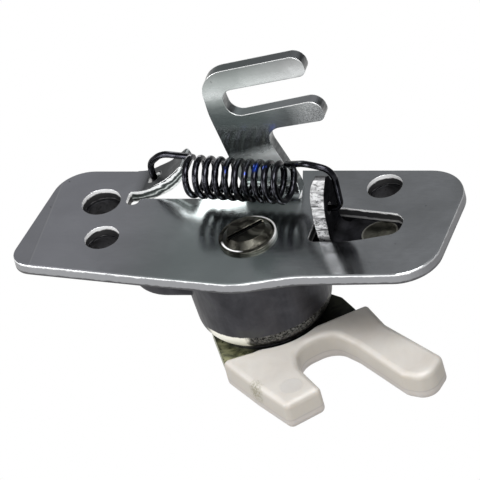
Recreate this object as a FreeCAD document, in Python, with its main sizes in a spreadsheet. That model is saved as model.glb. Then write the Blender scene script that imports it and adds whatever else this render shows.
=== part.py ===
import FreeCAD
import Part
import math
import os

import Sketcher

Vector = FreeCAD.Vector

# Side door lock: a pressed plate carries a housing with a claw on a vertical shaft.
# Millimetres. Origin on the claw's axis at the plate's seat, +Z towards the bolt fork,
# +X towards the claw's mouth side, +Y towards the fork.

SIZES = {
    "plate_thick": 3.0,
    "plate_edge_round": 0.5,
    "notch_front": 15.0,
    "fork_bend_inner": 3.375,
    "fork_top": 48.0,
    "tab_front": 17.5,
    "tab_wide": 8.25,
    "hook_hole_radius": 2.0,
    "nut_hole_rear_left": 5.0,
    "nut_hole_front_left": 4.45,
    "nut_hole_right": 4.6,
    "nut_flats": 13.0,
    "nut_high": 5.0,
    "nut_bore": 4.05,
    "nut_gap": 0.3,
    "pivot_hole": 6.0,
    "bush_bore": 5.05,
    "bush_flange": 8.5,
    "bush_flange_thick": 0.8,
    "neck_radius": 5.0,
    "shoulder_radius": 7.5,
    "shoulder_top": -0.9,
    "disc_top": -2.9,
    "disc_thick": 2.4,
    "disc_radius": 12.0,
    "square_side": 9.0,
    "head_washer_radius": 7.4,
    "head_washer_thick": 0.8,
    "head_radius": 6.4,
    "head_high": 1.8,
    "head_groove_wide": 1.5,
    "head_groove_deep": 0.8,
    "head_groove_turn": 44.0,
    "wall": 1.5,
    "press_round": 1.6,
    "cup_top_radius": 18.3,
    "cup_low_radius": 16.9,
    "cup_fillet": 5.4,
    "cup_bottom": 21.0,
    "lobe_half": 11.75,
    "lobe_deep": 7.0,
    "channel_front": -3.5,
    "channel_right": 39.0,
    "channel_deep": 7.4,
    "lower_bush_bore": 7.55,
    "lower_bush_sleeve": 9.0,
    "lower_bush_flange": 9.9,
    "sleeve_radius": 7.5,
    "claw_washer_radius": 14.0,
    "claw_washer_thick": 0.85,
    "core_top": -21.9,
    "core_thick": 5.0,
    "cover_top": -20.0,
    "cover_thick": 8.0,
    "cover_round": 1.7,
    "end_washer_radius": 8.0,
    "end_washer_thick": 1.2,
    "end_washer_gap": 1.1,
    "sheet_ear": 3.0,
    "ear_top_face": -0.2,
    "ear_front": 0.5,
    "ear_rear": 9.9,
    "foot_left": 23.9,
    "foot_reach": 5.5,
    "slide_gap": 0.3,
    "slide_nose": 12.35,
    "ear_hole_radius": 1.6,
    "slide_thick": 2.4,
    "rivet_across": 32.8,
    "rivet_along": 5.5,
    "rivet_head": 4.7,
    "rivet_shank": 3.0,
    "pawl_wire": 0.85,
    "pawl_coil": 4.7,
    "pawl_turns": 10.0,
    "return_wire": 0.9,
    "return_coil": 11.0,
    "return_turns": 4.5,
}

# Plate outline as corners with their radii, counter-clockwise from the rear left.
PLATE_OUTLINE = [
    (-55.5, 25.95, 9.2),
    (-61.75, -10.15, 5.6),
    (-24.0, -15.6, 60.0),
    (1.0, -18.9, 22.0),
    (16.5, -15.45, 30.0),
    (52.2, -14.65, 10.5),
    (52.9, 26.3, 11.0),
    (7.2, 26.3, 0.0),
    (10.2, 15.0, 0.8),
    (-32.9, 15.0, 0.8),
    (-32.9, 12.6, 1.7),
    (-36.4, 12.6, 1.7),
    (-36.4, 17.5, 0.8),
    (-35.4, 17.5, 0.0),
    (-35.4, 25.95, 0.0),
]

# Opening that the ear of the pawl slides in.
PLATE_SLOT = [
    (15.95, -1.9, 2.2),
    (26.0, -1.9, 10.0),
    (30.4, -1.0, 10.0),
    (39.4, 1.45, 3.2),
    (39.95, 8.75, 4.2),
    (15.95, 12.4, 2.2),
]

# Fork blank seen from the front: across, height above the seat, corner radius.
FORK_OUTLINE = [
    (-6.0, -1.0, 0.0),
    (-6.0, 3.0, 10.0),
    (-9.95, 27.5, 30.0),
    (-10.2, 40.0, 8.3),
    (18.75, 46.75, 3.0),
    (19.3, 40.25, 2.6),
    (-5.4, 34.8, 3.5),
    (-4.3, 26.5, 3.3),
    (20.2, 32.25, 3.1),
    (21.3, 25.8, 2.4),
    (3.1, 22.4, 4.4),
    (9.3, 3.0, 6.0),
    (9.9, -1.0, 0.0),
]

# Raised spring tab seen from the front.
TAB_PROFILE = [
    (-36.4, 3.0, 0.0),
    (-33.2, 3.3, 8.0),
    (-26.4, 6.7, 16.0),
    (-21.3, 11.1, 0.8),
    (-19.5, 9.0, 0.8),
    (-24.6, 3.9, 16.0),
    (-32.4, 0.0, 8.0),
    (-36.4, 0.0, 0.0),
]

# Upright of the ear seen from the front, and what its top loses seen from the side.
EAR_PROFILE = [
    (18.43, 2.3, 0.0),
    (18.35, 7.0, 12.0),
    (19.1, 14.8, 20.0),
    (20.1, 19.0, 12.0),
    (22.2, 21.9, 0.8),
    (24.6, 21.3, 0.8),
    (23.1, 16.6, 14.0),
    (21.9, 10.5, 30.0),
    (21.43, 2.3, 0.0),
]
EAR_SIDE = [
    (9.9, 8.0, 0.0),
    (16.0, 8.0, 0.0),
    (16.0, 30.0, 0.0),
    (-6.0, 30.0, 0.0),
    (-6.0, 19.0, 0.0),
    (0.5, 19.0, 0.0),
    (0.5, 21.9, 1.0),
    (4.6, 19.2, 8.0),
    (9.9, 12.4, 7.0),
]

# Nylon part of the claw seen from above.
COVER_OUTLINE = [
    (18.4, -3.3, 2.0),
    (25.6, 2.0, 0.8),
    (32.6, -5.6, 6.0),
    (51.6, -18.4, 2.6),
    (50.2, -27.6, 4.2),
    (42.6, -25.8, 5.0),
    (26.5, -13.4, 9.0),
    (19.0, -9.0, 5.6),
    (11.6, -15.4, 5.6),
    (14.2, -22.4, 6.0),
    (22.9, -31.2, 1.6),
    (15.4, -38.6, 1.8),
    (4.0, -29.8, 20.0),
    (-7.2, -20.3, 1.2),
    (0.3, -16.6, 1.0),
]

# Steel plate of the claw seen from above: hub, tongue and the part inside the nylon.
CORE_OUTLINE = [
    (-15.2, -3.7, 1.0),
    (-6.6, -19.6, 1.5),
    (1.5, -22.0, 3.0),
    (15.6, -35.6, 2.0),
    (19.6, -31.8, 2.0),
    (11.6, -23.4, 6.0),
    (8.8, -14.6, 7.0),
    (19.0, -6.2, 7.0),
    (43.2, -23.0, 3.0),
    (47.6, -19.6, 2.0),
    (30.8, -7.4, 5.0),
    (24.4, -0.6, 1.0),
    (21.6, 2.3, 1.2),
    (17.4, 6.3, 2.0),
    (13.6, 7.9, 1.0),
    (10.5, 11.8, 8.0),
    (0.0, 15.7, 9.0),
    (-10.5, 11.7, 9.0),
    (-15.2, 2.0, 9.0),
]

# Angles about the claw's axis, in degrees.
RETURN_ANGLE = 150.0
TAIL_ANGLE = 200.5
NOTCHES = [22.0, 40.0]

TAIL_RADIUS = 21.0
LEG_HOLE = 1.15

# Centre of each weld nut and how far its hexagon is turned.
NUT_PLACES = {
    "weld_nut_rear_left": (-42.92, 13.75),
    "weld_nut_front_left": (-38.87, -0.2),
    "weld_nut_right": (30.84, 19.84),
}
NUT_TURNS = {
    "weld_nut_rear_left": 0.0,
    "weld_nut_front_left": 30.0,
    "weld_nut_right": 0.0,
}
NUT_HOLES = {
    "weld_nut_rear_left": "nut_hole_rear_left",
    "weld_nut_front_left": "nut_hole_front_left",
    "weld_nut_right": "nut_hole_right",
}
SPRING_LEFT = Vector(-17.1, 13.3, 11.76)
SPRING_RIGHT = Vector(9.7, 10.9, 11.46)
SPRING_SIDE = Vector(0.0, 0.64, 0.77)
HOOK_HOLE = Vector(-30.6, 21.6, 4.5)
EAR_HOLE = Vector(20.0, 4.25, 8.9)

doc = FreeCAD.newDocument("SideDoorLock")
sheet = doc.addObject("Spreadsheet::Sheet", "Sizes")


def fill_sheet():
    """Write every driving dimension into the sheet under its own name."""
    for row, (name, value) in enumerate(SIZES.items(), start=1):
        sheet.set("A%d" % row, name)
        sheet.set("B%d" % row, str(value))
        sheet.setAlias("B%d" % row, name)
    doc.recompute()


def size(name):
    """Read one dimension back from the sheet."""
    return float(sheet.get(name))


def bind(item, prop, formula):
    """Tie a property to the sheet; names in the formula are its aliases."""
    words = formula.split()
    named = ["Sizes." + word if word in SIZES else word for word in words]
    item.setExpression(prop, " ".join(named))


def new_body(label):
    """Start a body that will be one piece of the lock."""
    body = doc.addObject("PartDesign::Body", label.title().replace("_", ""))
    body.Label = label
    return body


def origin_plane(body, role):
    """Return one of the body's own base planes."""
    for feature in body.Origin.OriginFeatures:
        if feature.Role == role:
            return feature
    raise ValueError(role)


def new_sketch(body, name, role, level="0"):
    """Put an empty sketch on a base plane, lifted along the plane's normal."""
    sketch = body.newObject("Sketcher::SketchObject", name)
    sketch.AttachmentSupport = (origin_plane(body, role), [""])
    sketch.MapMode = "FlatFace"
    bind(sketch, "AttachmentOffset.Base.z", level)
    return sketch


def corner_arc(before, here, after, radius):
    """Return start, middle and end of the arc that rounds one corner."""
    back = (before - here).normalize()
    onward = (after - here).normalize()
    half = back.getAngle(onward) / 2.0
    reach = radius / math.tan(half)
    inward = (back + onward).normalize()
    middle = here + inward * (radius / math.sin(half) - radius)
    return here + back * reach, middle, here + onward * reach


def rounded_loop(corners):
    """Return the lines and tangent arcs of a closed outline with rounded corners."""
    places = [Vector(x, y, 0) for x, y, radius in corners]
    bends = []
    for index, (x, y, radius) in enumerate(corners):
        here = places[index]
        if radius <= 0:
            bends.append((here, None, here))
            continue
        after = places[(index + 1) % len(places)]
        bends.append(corner_arc(places[index - 1], here, after, radius))
    pieces = []
    for index, (start, middle, end) in enumerate(bends):
        if middle is not None:
            pieces.append(Part.Arc(start, middle, end))
        following = bends[(index + 1) % len(bends)][0]
        if end.distanceToPoint(following) > 1e-6:
            pieces.append(Part.LineSegment(end, following))
    return pieces


def add_circle(sketch, centre, alias):
    """Draw a circle whose radius follows the sheet."""
    ring = Part.Circle(Vector(centre[0], centre[1], 0), Vector(0, 0, 1), SIZES[alias])
    index = sketch.addGeometry(ring, False)
    rule = sketch.addConstraint(Sketcher.Constraint("Radius", index, SIZES[alias]))
    bind(sketch, "Constraints[%d]" % rule, alias)
    across = sketch.addConstraint(Sketcher.Constraint("DistanceX", -1, 1, index, 3, centre[0]))
    sketch.addConstraint(Sketcher.Constraint("DistanceY", -1, 1, index, 3, centre[1]))
    return across


def pad(body, sketch, name, formula, back=False, middle=False):
    """Add material over a sketch."""
    feature = body.newObject("PartDesign::Pad", name)
    feature.Profile = sketch
    feature.Reversed = back
    feature.Midplane = middle
    bind(feature, "Length", formula)
    return feature


def pocket(body, sketch, name, formula, back=False, middle=False):
    """Take material away over a sketch and make sure that something went."""
    doc.recompute()
    before = body.Shape.Volume
    feature = body.newObject("PartDesign::Pocket", name)
    feature.Profile = sketch
    feature.Reversed = back
    feature.Midplane = middle
    bind(feature, "Length", formula)
    doc.recompute()
    if body.Shape.Volume > before - 0.01:
        raise RuntimeError("nothing cut by " + name)
    return feature


def add_fillet(body, name, edges, alias):
    """Round the named edges of the body's last feature."""
    base = body.Tip
    feature = body.newObject("PartDesign::Fillet", name)
    feature.Base = (base, edges)
    bind(feature, "Radius", alias)
    doc.recompute()
    if "Invalid" in feature.State:
        raise RuntimeError("no fillet " + name)
    return feature


def turned(body, sketch, name, cut=False):
    """Turn a sketch a full turn about its own upright axis, adding or cutting."""
    doc.recompute()
    kind = "PartDesign::Groove" if cut else "PartDesign::Revolution"
    feature = body.newObject(kind, name)
    feature.Profile = sketch
    feature.ReferenceAxis = (sketch, ["V_Axis"])
    feature.Angle = 360.0
    doc.recompute()
    return feature


def cylinder(name, radius, high, level, centre=("0", "0")):
    """Make an upright cylinder; every size is a formula on the sheet."""
    rod = doc.addObject("Part::Cylinder", name)
    bind(rod, "Radius", radius)
    bind(rod, "Height", high)
    bind(rod, "Placement.Base.x", centre[0])
    bind(rod, "Placement.Base.y", centre[1])
    bind(rod, "Placement.Base.z", level)
    return rod


def square_bar(name, grow, high, level):
    """Make the square of the shaft, or the hole for it when it grows."""
    bar = doc.addObject("Part::Box", name)
    bind(bar, "Length", "square_side + " + grow)
    bind(bar, "Width", "square_side + " + grow)
    bind(bar, "Height", high)
    bind(bar, "Placement.Base.x", "( square_side + " + grow + " ) / -2")
    bind(bar, "Placement.Base.y", "( square_side + " + grow + " ) / -2")
    bind(bar, "Placement.Base.z", level)
    return bar


def cut(name, base, tool):
    """Subtract one object from another."""
    result = doc.addObject("Part::Cut", name)
    result.Base = base
    result.Tool = tool
    return result


def fuse(name, shapes):
    """Join several objects into one piece."""
    result = doc.addObject("Part::MultiFuse", name)
    result.Shapes = shapes
    result.Refine = True
    return result


def sketch_loop(sketch, corners):
    """Draw one rounded outline in a sketch."""
    for piece in rounded_loop(corners):
        sketch.addGeometry(piece, False)


def trim(body, name, role, outline, reach):
    """Cut everything outside an outline, over a region given by four bounds."""
    left, low, right, high = reach
    sketch = new_sketch(body, name + "Sketch", role)
    sketch_loop(sketch, [(left, low, 0), (right, low, 0), (right, high, 0), (left, high, 0)])
    sketch_loop(sketch, outline)
    return pocket(body, sketch, name, "160", middle=True)


def fork_strip(body):
    """Bend the sheet up behind the plate and cut the fork's outline out of it."""
    sketch = new_sketch(body, "ForkStripSketch", "YZ_Plane")
    inner = SIZES["fork_bend_inner"]
    thick = SIZES["plate_thick"]
    y_start = SIZES["notch_front"]
    outer = inner + thick
    level = thick + inner
    top = SIZES["fork_top"]
    slant = math.sqrt(0.5)
    inner_mid = Vector(y_start + inner * slant, level - inner * slant, 0)
    outer_mid = Vector(y_start + outer * slant, level - outer * slant, 0)
    points = {
        "seat_low": Vector(y_start - 1.5, 0, 0),
        "bend_low": Vector(y_start, 0, 0),
        "back_low": Vector(y_start + outer, level, 0),
        "back_top": Vector(y_start + outer, top, 0),
        "face_top": Vector(y_start + inner, top, 0),
        "face_low": Vector(y_start + inner, level, 0),
        "bend_top": Vector(y_start, thick, 0),
        "seat_top": Vector(y_start - 1.5, thick, 0),
    }
    lines = [("seat_low", "bend_low"), ("back_low", "back_top"), ("back_top", "face_top"),
             ("face_top", "face_low"), ("bend_top", "seat_top"), ("seat_top", "seat_low")]
    for start, end in lines:
        sketch.addGeometry(Part.LineSegment(points[start], points[end]), False)
    sketch.addGeometry(Part.Arc(points["bend_low"], outer_mid, points["back_low"]), False)
    sketch.addGeometry(Part.Arc(points["face_low"], inner_mid, points["bend_top"]), False)
    pad(body, sketch, "ForkStrip", "64", middle=True)
    trim(body, "ForkTrim", "XZ_Plane", FORK_OUTLINE, (-40, -2, 40, 60))


def round_plate_edge(body):
    """Roll the upper outer edge of the plate, but not the sheared notch."""
    doc.recompute()
    level = SIZES["plate_thick"]
    names = []
    for index, edge in enumerate(body.Shape.Edges, start=1):
        box = edge.BoundBox
        middle = edge.valueAt((edge.FirstParameter + edge.LastParameter) / 2.0)
        flat = abs(box.ZMin - level) < 1e-4 and abs(box.ZMax - level) < 1e-4
        in_notch = -37.5 < middle.x < 11.0 and middle.y > 11.0
        if flat and not in_notch:
            names.append("Edge%d" % index)
    add_fillet(body, "PlateEdge", names, "plate_edge_round")


def make_base_plate():
    """Plate, bolt fork and spring tab are one pressing."""
    body = new_body("base_plate")
    outline = new_sketch(body, "PlateOutline", "XY_Plane")
    sketch_loop(outline, PLATE_OUTLINE)
    pad(body, outline, "PlatePad", "plate_thick")
    round_plate_edge(body)
    slot = new_sketch(body, "SlotSketch", "XY_Plane")
    sketch_loop(slot, PLATE_SLOT)
    pocket(body, slot, "Slot", "plate_thick", back=True)
    holes = new_sketch(body, "HoleSketch", "XY_Plane")
    for name, place in NUT_PLACES.items():
        add_circle(holes, place, NUT_HOLES[name])
    add_circle(holes, (0.0, 0.0), "pivot_hole")
    pocket(body, holes, "Holes", "plate_thick", back=True)
    tab = new_sketch(body, "TabSketch", "XZ_Plane", "-1 * tab_front")
    sketch_loop(tab, TAB_PROFILE)
    pad(body, tab, "Tab", "tab_wide", back=True)
    doc.recompute()
    hook = new_sketch(body, "HookHoleSketch", "XY_Plane", "-2")
    add_circle(hook, (HOOK_HOLE.x, HOOK_HOLE.y), "hook_hole_radius")
    pocket(body, hook, "HookHole", "14", back=True)
    corner = new_sketch(body, "TabCornerSketch", "XY_Plane", "3.5")
    sketch_loop(corner, [(-15, 14, 0), (-15, 30, 0), (-30, 30, 0), (-30, 25.75, 0.5),
                         (-19.3, 25.75, 3.9), (-19.3, 17.5, 3.9), (-30, 17.5, 0.5), (-30, 14, 0)])
    pocket(body, corner, "TabCorners", "12", back=True)
    doc.recompute()
    return body


def make_fork():
    """The fork rises from the rear of the plate through a bend."""
    body = new_body("fork_blank")
    fork_strip(body)
    doc.recompute()
    return body


def join_plate(plate, fork):
    """Plate and fork come out of one sheet, so they are one solid."""
    plate.Label = "plate_blank"
    whole = fuse("BasePlateWhole", [plate, fork])
    whole.Label = "base_plate"
    return whole


def make_nut(label, place):
    """Hexagonal weld nut under one of the plate's holes."""
    prism = doc.addObject("Part::Prism", label.title().replace("_", "") + "Hex")
    prism.Polygon = 6
    bind(prism, "Circumradius", "nut_flats / 1.7320508")
    bind(prism, "Height", "nut_high")
    turn = FreeCAD.Rotation(Vector(0, 0, 1), NUT_TURNS[label])
    prism.Placement = FreeCAD.Placement(Vector(place[0], place[1], 0), turn)
    bind(prism, "Placement.Base.z", "-1 * nut_high")
    centre = (str(place[0]), str(place[1]))
    bore = cylinder(label.title().replace("_", "") + "Bore", "nut_bore", "nut_high + 2",
                    "-1 * nut_high - 1", centre)
    nut = cut(label.title().replace("_", ""), prism, bore)
    nut.Label = label
    return nut


def make_upper_bush():
    """Flanged bush that guides the shaft's neck in the plate."""
    flange = cylinder("UpperBushFlange", "bush_flange", "bush_flange_thick", "-1 * bush_flange_thick")
    sleeve = cylinder("UpperBushSleeve", "pivot_hole", "plate_thick + bush_flange_thick",
                      "-1 * bush_flange_thick")
    bore = cylinder("UpperBushBore", "bush_bore", "plate_thick + 4", "-2")
    bush = cut("UpperBush", fuse("UpperBushBlank", [flange, sleeve]), bore)
    bush.Label = "upper_bush"
    return bush


def make_lower_bush():
    """Flanged bush in the floor of the cup."""
    flange = cylinder("LowerBushFlange", "lower_bush_flange", "1", "wall - cup_bottom")
    sleeve = cylinder("LowerBushSleeve", "lower_bush_sleeve", "wall + 1", "-1 * cup_bottom")
    bore = cylinder("LowerBushBore", "lower_bush_bore", "wall + 6", "-1 * cup_bottom - 2")
    bush = cut("LowerBush", fuse("LowerBushBlank", [flange, sleeve]), bore)
    bush.Label = "lower_bush"
    return bush


def cup_profile():
    """Half section of the cup's outside: radius and height corners."""
    top = SIZES["cup_top_radius"]
    low = SIZES["cup_low_radius"]
    floor = -SIZES["cup_bottom"]
    return [(0, 0, 0), (0, floor, 0), (low, floor, SIZES["cup_fillet"]), (top, 0, 0)]


def cup_hollow():
    """Half section of the cup's inside, with a chamfer inside the rounded bottom."""
    wall = SIZES["wall"]
    top = SIZES["cup_top_radius"] - wall
    low = SIZES["cup_low_radius"] - wall
    floor = wall - SIZES["cup_bottom"]
    slope = (SIZES["cup_fillet"] - wall) * 0.75
    lift = 1.0
    return [(0, lift, 0), (0, floor, 0), (low - slope, floor, 0), (low, floor + slope, 0), (top, lift, 0)]


def lobe_loop(inset):
    """Left lobe of the housing seen from above; it ends just short of the nut beside it."""
    half = SIZES["lobe_half"] - inset
    nut_side = NUT_PLACES["weld_nut_front_left"][0] + SIZES["nut_flats"] / 2.0
    end = nut_side + SIZES["nut_gap"] + inset
    return [(end, -half, half - 0.01), (0, -half, 0), (0, half, 0), (end, half, half - 0.01)]


def channel_rear():
    """Outer rear face of the channel, just in front of the nut behind it."""
    return NUT_PLACES["weld_nut_right"][1] - SIZES["nut_flats"] / 2.0 - SIZES["nut_gap"]


def channel(inset, spread):
    """Right channel of the housing seen from above; it is open at its right end."""
    front = SIZES["channel_front"] + inset
    rear = channel_rear() - inset
    right = SIZES["channel_right"] + spread
    return [(0, front, 0), (right, front, 0), (right, rear, 0), (0, rear, 0)]


def slide_bounds():
    """Front and rear of the slide between the channel's walls, and its right end."""
    front = SIZES["channel_front"] + SIZES["wall"] + SIZES["slide_gap"]
    rear = channel_rear() - SIZES["wall"] - SIZES["slide_gap"]
    return front, rear, SIZES["rivet_across"] + SIZES["foot_reach"]


def slide_outline():
    """Pawl slide seen from above: its nose rests on the rim of the disc."""
    front, rear, right = slide_bounds()
    nose = SIZES["slide_nose"]
    reach = SIZES["foot_reach"]
    return [(nose, front, 0.5), (right, front, reach), (right, rear, reach),
            (nose + 7.0, rear, 1.5), (nose, front + 3.6, 0.8)]


def foot_outline():
    """Foot of the ear seen from above, as wide as the slide and with the same end."""
    front, rear, right = slide_bounds()
    left = SIZES["foot_left"]
    reach = SIZES["foot_reach"]
    return [(left, front, 1.4), (right, front, reach), (right, rear, reach), (left, rear, 1.4)]


def make_housing():
    """Deep cup with a lobe for the disc's tail and a channel for the pawl."""
    body = new_body("housing")
    cup = new_sketch(body, "CupSketch", "XZ_Plane")
    sketch_loop(cup, cup_profile())
    turned(body, cup, "Cup")
    lobe = new_sketch(body, "LobeSketch", "XY_Plane")
    sketch_loop(lobe, lobe_loop(0.0))
    pad(body, lobe, "Lobe", "lobe_deep", back=True)
    rail = new_sketch(body, "ChannelSketch", "XY_Plane")
    sketch_loop(rail, channel(0.0, 0.0))
    pad(body, rail, "Channel", "channel_deep", back=True)
    doc.recompute()
    soften_housing(body)
    hollow_housing(body)
    return body


def soften_housing(body):
    """Round the lower outer edges of lobe and channel as the press leaves them."""
    lobe_floor = -SIZES["lobe_deep"]
    rail_floor = -SIZES["channel_deep"]
    names = []
    for index, edge in enumerate(body.Shape.Edges, start=1):
        box = edge.BoundBox
        at_lobe = abs(box.ZMin - lobe_floor) < 1e-3 and abs(box.ZMax - lobe_floor) < 1e-3
        at_rail = abs(box.ZMin - rail_floor) < 1e-3 and abs(box.ZMax - rail_floor) < 1e-3
        middle = edge.valueAt((edge.FirstParameter + edge.LastParameter) / 2.0)
        outside = math.hypot(middle.x, middle.y) > SIZES["cup_top_radius"] - 0.2
        end_edge = abs(middle.x - SIZES["channel_right"]) < 0.01
        if (at_lobe or at_rail) and outside and not end_edge:
            names.append("Edge%d" % index)
    add_fillet(body, "HousingEdges", names, "press_round")


def hollow_housing(body):
    """Take out the inside of cup, lobe and channel and pierce the floor."""
    wall = SIZES["wall"]
    lobe = new_sketch(body, "LobeHollowSketch", "XY_Plane")
    sketch_loop(lobe, lobe_loop(wall))
    pocket(body, lobe, "LobeHollow", "lobe_deep - wall")
    rail = new_sketch(body, "ChannelHollowSketch", "XY_Plane")
    sketch_loop(rail, channel(wall, 5.0))
    pocket(body, rail, "ChannelHollow", "channel_deep - wall")
    cup = new_sketch(body, "CupHollowSketch", "XZ_Plane")
    sketch_loop(cup, cup_hollow())
    turned(body, cup, "CupHollow", cut=True)
    floor = new_sketch(body, "FloorHoleSketch", "XY_Plane", "-30")
    add_circle(floor, (0.0, 0.0), "lower_bush_sleeve")
    floor.addGeometry(Part.Circle(return_legs()[0], Vector(0, 0, 1), LEG_HOLE), False)
    pocket(body, floor, "FloorHole", "20", back=True)


def make_claw_shaft():
    """Shaft with a slotted head above, a shoulder, a square and a lower head."""
    neck = cylinder("ShaftNeck", "neck_radius",
                    "plate_thick + head_washer_thick - shoulder_top", "shoulder_top")
    shoulder = cylinder("ShaftShoulder", "shoulder_radius", "shoulder_top - disc_top", "disc_top")
    square = square_bar("ShaftSquare", "-0.1", "core_thick - core_top + disc_top",
                        "core_top - core_thick")
    low = cylinder("ShaftLower", "neck_radius - 1", "end_washer_thick + 0.4",
                   "core_top - core_thick - end_washer_gap - 0.4 - end_washer_thick")
    low_head = cylinder("ShaftLowerHead", "neck_radius + 0.8", "1.6",
                        "core_top - core_thick - end_washer_gap - end_washer_thick - 1.6")
    head = doc.addObject("Part::Cone", "ShaftHead")
    bind(head, "Radius1", "head_radius")
    bind(head, "Radius2", "head_radius - 1.5")
    bind(head, "Height", "head_high")
    bind(head, "Placement.Base.z", "plate_thick + head_washer_thick")
    square_low = square_bar("ShaftSquareLow", "-0.1", "end_washer_gap + 0.1",
                            "core_top - core_thick - end_washer_gap")
    shaft = fuse("ShaftBlank", [neck, shoulder, square, square_low, low, low_head, head])
    groove = doc.addObject("Part::Box", "HeadGroove")
    bind(groove, "Length", "head_radius * 3")
    bind(groove, "Width", "head_groove_wide")
    bind(groove, "Height", "head_groove_deep + 1")
    turn = FreeCAD.Rotation(Vector(0, 0, 1), SIZES["head_groove_turn"])
    shift = turn.multVec(Vector(-SIZES["head_radius"] * 1.5, -SIZES["head_groove_wide"] / 2.0, 0))
    level = SIZES["plate_thick"] + SIZES["head_washer_thick"] + SIZES["head_high"]
    shift.z = level - SIZES["head_groove_deep"]
    groove.Placement = FreeCAD.Placement(shift, turn)
    whole = cut("ClawShaft", shaft, groove)
    whole.Label = "claw_shaft"
    return whole


def make_ring(label, outer, inner, high, level):
    """Round washer or sleeve."""
    title = label.title().replace("_", "")
    blank = cylinder(title + "Blank", outer, high, level)
    bore = cylinder(title + "Bore", inner, high + " + 2", level + " - 1")
    ring = cut(title, blank, bore)
    ring.Label = label
    return ring


def make_square_ring(label, outer, high, level):
    """Round ring with the square hole that the shaft drives."""
    title = label.title().replace("_", "")
    blank = cylinder(title + "Blank", outer, high, level)
    bore = square_bar(title + "Bore", "0", high + " + 2", level + " - 1")
    ring = cut(title, blank, bore)
    ring.Label = label
    return ring


def polar(radius, degrees):
    """Point at a radius and an angle about the claw's axis."""
    angle = math.radians(degrees)
    return Vector(radius * math.cos(angle), radius * math.sin(angle), 0)


def make_ratchet_disc():
    """Disc with two notches for the pawl; its tail swings in the left lobe."""
    body = new_body("ratchet_disc")
    level = "disc_top - disc_thick"
    rim = new_sketch(body, "DiscSketch", "XY_Plane", level)
    add_circle(rim, (0.0, 0.0), "disc_radius")
    pad(body, rim, "Rim", "disc_thick")
    tail = new_sketch(body, "TailSketch", "XY_Plane", level)
    tail_angle = TAIL_ANGLE
    spread = [(9.0, 16.0, 0.0), (17.0, 9.5, 3.0), (TAIL_RADIUS, 8.0, 1.4)]
    near = [polar(r, tail_angle - a) for r, a, c in spread]
    far = [polar(r, tail_angle + a) for r, a, c in reversed(spread)]
    radii = [c for r, a, c in spread] + [c for r, a, c in reversed(spread)]
    sketch_loop(tail, [(p.x, p.y, c) for p, c in zip(near + far, radii)])
    pad(body, tail, "Tail", "disc_thick")
    doc.recompute()
    gaps = new_sketch(body, "NotchSketch", "XY_Plane", level)
    for middle in NOTCHES:
        points = [polar(13.5, middle - 7.0), polar(13.5, middle + 10.0),
                  polar(9.6, middle + 3.5), polar(9.6, middle - 9.6)]
        sketch_loop(gaps, [(p.x, p.y, 0.0) for p in points])
    pocket(body, gaps, "Notches", "disc_thick", back=True)
    square = new_sketch(body, "DiscSquareSketch", "XY_Plane", level)
    half = SIZES["square_side"] / 2.0
    sketch_loop(square, [(-half, -half, 0), (half, -half, 0), (half, half, 0), (-half, half, 0)])
    square.addGeometry(Part.Circle(return_legs()[1], Vector(0, 0, 1), LEG_HOLE), False)
    pocket(body, square, "DiscHoles", "disc_thick", back=True)
    return body


def make_claw_core():
    """Steel claw plate with its square hole."""
    body = new_body("claw_core")
    sketch = new_sketch(body, "CoreSketch", "XY_Plane", "core_top - core_thick")
    sketch_loop(sketch, CORE_OUTLINE)
    pad(body, sketch, "CorePad", "core_thick")
    doc.recompute()
    square = new_sketch(body, "CoreSquareSketch", "XY_Plane", "core_top - core_thick")
    half = SIZES["square_side"] / 2.0
    sketch_loop(square, [(-half, -half, 0), (half, -half, 0), (half, half, 0), (-half, half, 0)])
    pocket(body, square, "CoreSquare", "core_thick", back=True)
    return body


def make_claw_cover(core):
    """Nylon moulded round the outer part of the claw plate."""
    body = new_body("cover_blank")
    sketch = new_sketch(body, "CoverSketch", "XY_Plane", "cover_top - cover_thick")
    sketch_loop(sketch, COVER_OUTLINE)
    pad(body, sketch, "CoverPad", "cover_thick")
    doc.recompute()
    names = []
    for index, edge in enumerate(body.Shape.Edges, start=1):
        box = edge.BoundBox
        if box.ZMax - box.ZMin < 1e-4:
            names.append("Edge%d" % index)
    add_fillet(body, "CoverEdges", names, "cover_round")
    hub = cylinder("CupRelief", "16.5", "cover_thick + 2", "cover_top - cover_thick - 1")
    shell = cut("CoverShell", body, hub)
    cover = cut("ClawCover", shell, core)
    cover.Label = "claw_cover"
    return cover


def rivet_groove(body, prefix, low, high):
    """Countersunk hole for the rivet through one of its sheets."""
    sketch = new_sketch(body, prefix + "RivetSketch", "XZ_Plane", "-1 * rivet_along")
    bind(sketch, "AttachmentOffset.Base.x", "rivet_across")
    sketch_loop(sketch, rivet_section(low, high))
    return turned(body, sketch, prefix + "RivetHole", cut=True)


def rivet_section(low, high):
    """Half section of the rivet between two levels."""
    top = SIZES["ear_top_face"]
    floor = top - SIZES["sheet_ear"] - SIZES["slide_thick"]
    shank = SIZES["rivet_shank"]
    head = SIZES["rivet_head"]
    full = [(head, top), (shank, top - 1.7), (shank, floor + 1.2), (shank + 1.2, floor)]
    side = []
    for (r_one, z_one), (r_two, z_two) in zip(full, full[1:]):
        if z_one <= high and z_one >= low:
            side.append((r_one, z_one))
        for cutoff in (high, low):
            if z_one > cutoff > z_two:
                share = (z_one - cutoff) / (z_one - z_two)
                side.append((r_one + (r_two - r_one) * share, cutoff))
    if full[-1][1] >= low:
        side.append(full[-1])
    corners = [(0, side[0][1], 0)] + [(r, z, 0) for r, z in side] + [(0, side[-1][1], 0)]
    return corners


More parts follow.
